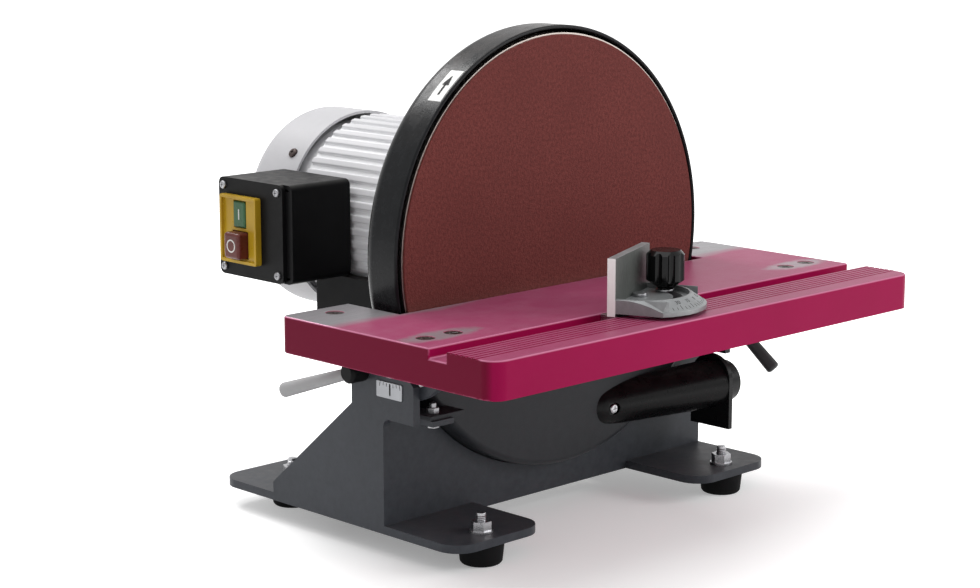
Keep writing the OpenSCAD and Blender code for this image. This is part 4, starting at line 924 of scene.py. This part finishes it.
rim_marks = []
for degrees in range(-50, 51, 5):
    length = 4.2 if degrees % 15 == 0 else 2.6
    tick = stroke("rim_tick", 0.45, length, PRINT)
    rim_marks.append(put_at(tick, rim_place(degrees, RIM_TICK_START + length / 2)))
for degrees in range(-45, 46, 15):
    figure = numeral(str(abs(degrees)), 4.4)
    rim_marks.append(put_at(figure, rim_place(degrees, RIM_NUMERAL_RISE)))
gather("miter_degree_marks", rim_marks, "gauge_head", mark_black)

# Degree marks on the tilt scale's plate, radial to the tilt axis

TILT_AXIS = at(-169.3, -4.0, 172.0)
SCALE_TICK_START_R = 46.8


def scale_place(degrees, radius):
    """A place on the plate, reading from the left side of the machine."""
    a = math.radians(degrees)
    out = Vector((0.0, math.cos(a), math.sin(a)))
    place = Matrix((out.cross(Vector((-1, 0, 0))), out, Vector((-1, 0, 0)))).transposed().to_4x4()
    place.translation = TILT_AXIS + out * radius * MM
    return place


scale_marks = []
for step, degrees in enumerate(range(-102, -77, 4)):
    length, width = (8.4, 1.5) if step == 3 else (4.0, 0.6) if step % 3 == 0 else (2.4, 0.5)
    tick = stroke("scale_tick", width, length, PRINT)
    scale_marks.append(put_at(tick, scale_place(degrees, SCALE_TICK_START_R + length / 2)))
gather("tilt_scale_marks", scale_marks, "machine", mark_black)

# Marks on the buttons: a bar on the green one, a ring on the red one

START_FACE = at(-144.0, 191.5, 218.5)
STOP_FACE = at(-152.0, 191.5, 195.5)
facing_left = Matrix(((0, 0, -1), (-1, 0, 0), (0, 1, 0))).to_4x4()
bar_mark = stroke("start_bar_mark", 1.3, 8.0, BUTTON_PRINT)
place = Matrix.Translation(START_FACE) @ facing_left
gather("start_mark", [put_at(bar_mark, place)], "start_button", mark_white)

bpy.ops.object.select_all(action="DESELECT")
bpy.ops.mesh.primitive_circle_add(vertices=48, radius=5.0 * MM, fill_type="NGON")
ring_mark = added("stop_ring_mark")
open_mesh(ring_mark, "SELECT")
bpy.ops.mesh.inset(thickness=1.1 * MM)
bpy.ops.mesh.delete(type="FACE")
close_mesh()
flat_mark(ring_mark, BUTTON_PRINT)
place = Matrix.Translation(STOP_FACE) @ facing_left
gather("stop_mark", [put_at(ring_mark, place)], "stop_button", mark_white)

# Turning arrow of the disc: a white plate on the guard's band with a dark arrow


def band_patch(name, y0, y1, start, end, lift, steps=16):
    """A strip over the guard's band between two angles: one edge of a plane, swept round the disc's axis."""
    bpy.ops.object.select_all(action="DESELECT")
    bpy.ops.mesh.primitive_plane_add(size=PLANE_SIZE)
    patch = added(name)
    bm = open_mesh(patch)
    for vert in bm.verts:
        vert.select_set(vert.co.x > 0)
    bm.select_flush_mode()
    bmesh.update_edit_mesh(patch.data)
    bpy.ops.mesh.delete(type="VERT")
    close_mesh()
    patch.scale = (1.0, (y1 - y0) * MM, 1.0)
    settle(patch)
    patch.location = on_ring(start, (y0 + y1) / 2, GUARD_R + lift)
    patch.location.x += PLANE_SIZE / 2
    settle(patch)
    open_mesh(patch, "SELECT")
    bpy.ops.mesh.spin(steps=steps, angle=math.radians(end - start), center=at(0.0, 0.0, AXIS_Z),
                      axis=(0, 1, 0))
    close_mesh()
    return patch


plate = band_patch("turning_plate", 4.5, 17.5, 124.5, 135.5, 0.05)
flat_mark(plate, 0.25, 0.1)
gather("turning_plate", [plate], "machine", plate_white)

ARROW_POINT = 126.6
shaft = band_patch("arrow_shaft", 10.2, 11.8, 129.9, 133.4, 0.35)
tip = band_patch("arrow_tip", 7.8, 14.2, ARROW_POINT, 130.0, 0.45, 1)
bm = open_mesh(tip)
for vert in bm.verts:
    angle = math.degrees(math.atan2(vert.co.z - AXIS_Z * MM, vert.co.x))
    vert.select_set(angle < ARROW_POINT + 0.4)
bm.select_flush_mode()
bmesh.update_edit_mesh(tip.data)
bpy.ops.transform.resize(value=(1.0, 0.02, 1.0))
close_mesh()
for part in (shaft, tip):
    flat_mark(part, 0.1)
gather("turning_arrow", [shaft, tip], "machine", mark_black)

# Camera, light and floor, in metres and watts

CAMERA_LENS = 83.216
CAMERA_AZIMUTH, CAMERA_ELEVATION = math.radians(-44.463), math.radians(10.888)
CAMERA_TARGET = Vector((-0.068865, FACE_Y * MM, 0.1742))
CAMERA_DISTANCE = 1.61812
ROOM_LIGHT, ROOM_SEEN = 0.55, 1.0
FLOOR_SIZE = 60.0
FLOOR_COLOUR = (0.88, 0.88, 0.88, 1.0)
# How strongly the floor glows near and far from the machine: the weaker glow close by is a painted shadow.
FLOOR_NEAR, FLOOR_FAR = 0.26, 0.85
SHADOW_CENTRE = (-0.07, -0.1, 0.0)
SHADOW_NEAR, SHADOW_FAR = 0.14, 0.5

camera_data = bpy.data.cameras.new("camera")
camera_data.sensor_fit = "HORIZONTAL"
camera_data.sensor_width = 36.0
camera_data.lens = CAMERA_LENS
camera_data.clip_end = 100.0
camera = bpy.data.objects.new("camera", camera_data)
bpy.context.scene.collection.objects.link(camera)
level = math.cos(CAMERA_ELEVATION)
back = Vector((math.sin(CAMERA_AZIMUTH) * level, -math.cos(CAMERA_AZIMUTH) * level,
               math.sin(CAMERA_ELEVATION)))
camera.location = CAMERA_TARGET + back * CAMERA_DISTANCE
camera.rotation_euler = (-back).to_track_quat("-Z", "Y").to_euler()
bpy.context.scene.camera = camera


def soft_light(name, place, aim, size, power):
    data = bpy.data.lights.new(name, "AREA")
    data.shape = "RECTANGLE"
    data.size, data.size_y = size
    data.energy = power
    lamp = bpy.data.objects.new(name, data)
    bpy.context.scene.collection.objects.link(lamp)
    lamp.location = place
    lamp.rotation_euler = (Vector(aim) - Vector(place)).to_track_quat("-Z", "Y").to_euler()


soft_light("overhead_box", place=(-0.3, 0.1, 2.0), aim=(0.0, 0.0, 0.2), size=(1.8, 1.8), power=20.0)
soft_light("front_box", place=(1.3, -1.7, 1.1), aim=(0.0, 0.0, 0.15), size=(1.2, 1.0), power=18.0)
soft_light("back_box", place=(-0.05, 1.5, 1.75), aim=(-0.05, 0.0, 0.3), size=(0.7, 0.5), power=14.0)

world = bpy.data.worlds.new("studio")
bpy.context.scene.world = world
world.use_nodes = True


def seen_rays(tree):
    """1 for what the camera sees directly, in a reflection or through glass."""
    path = tree.nodes.new("ShaderNodeLightPath").outputs
    mirrored = calc(tree, "ADD", path["Is Glossy Ray"], path["Is Transmission Ray"])
    return calc(tree, "ADD", path["Is Camera Ray"], mirrored, True)


room = world.node_tree.nodes["Background"]
room.inputs["Color"].default_value = (1.0, 1.0, 1.0, 1.0)
room_strength = spread(world.node_tree, seen_rays(world.node_tree), 0.0, 1.0, ROOM_LIGHT, ROOM_SEEN)
world.node_tree.links.new(room_strength, room.inputs["Strength"])


def make_floor():
    """A white floor that the camera sees darker close to the machine: its glow is weaker there, a painted
    shadow round the machine.
    """
    bpy.ops.object.select_all(action="DESELECT")
    bpy.ops.mesh.primitive_plane_add(size=FLOOR_SIZE, location=(0, 0, 0))
    floor = added("floor")
    material = bpy.data.materials.new("studio_floor")
    material.use_nodes = True
    tree = material.node_tree
    tree.nodes.clear()
    out = tree.nodes.new("ShaderNodeOutputMaterial")
    matt = put(tree, "ShaderNodeBsdfDiffuse", Color=FLOOR_COLOUR)
    away = put(tree, "ShaderNodeVectorMath", {"operation": "LENGTH"})
    off_centre = put(tree, "ShaderNodeVectorMath", {"operation": "SUBTRACT"})
    tree.links.new(object_point(tree), off_centre.inputs[0])
    off_centre.inputs[1].default_value = SHADOW_CENTRE
    tree.links.new(off_centre.outputs[0], away.inputs[0])
    # Painted shadow: the floor's glow drops towards the shadow centre.
    white = spread(tree, away.outputs["Value"], SHADOW_NEAR, SHADOW_FAR, FLOOR_NEAR, FLOOR_FAR)
    lift = put(tree, "ShaderNodeEmission", Color=(1.0, 1.0, 1.0, 1.0),
               Strength=times(tree, seen_rays(tree), white))
    both = tree.nodes.new("ShaderNodeAddShader")
    tree.links.new(matt.outputs[0], both.inputs[0])
    tree.links.new(lift.outputs[0], both.inputs[1])
    tree.links.new(both.outputs[0], out.inputs["Surface"])
    floor.data.materials.append(material)


make_floor()
bpy.context.scene.view_settings.view_transform = "Standard"
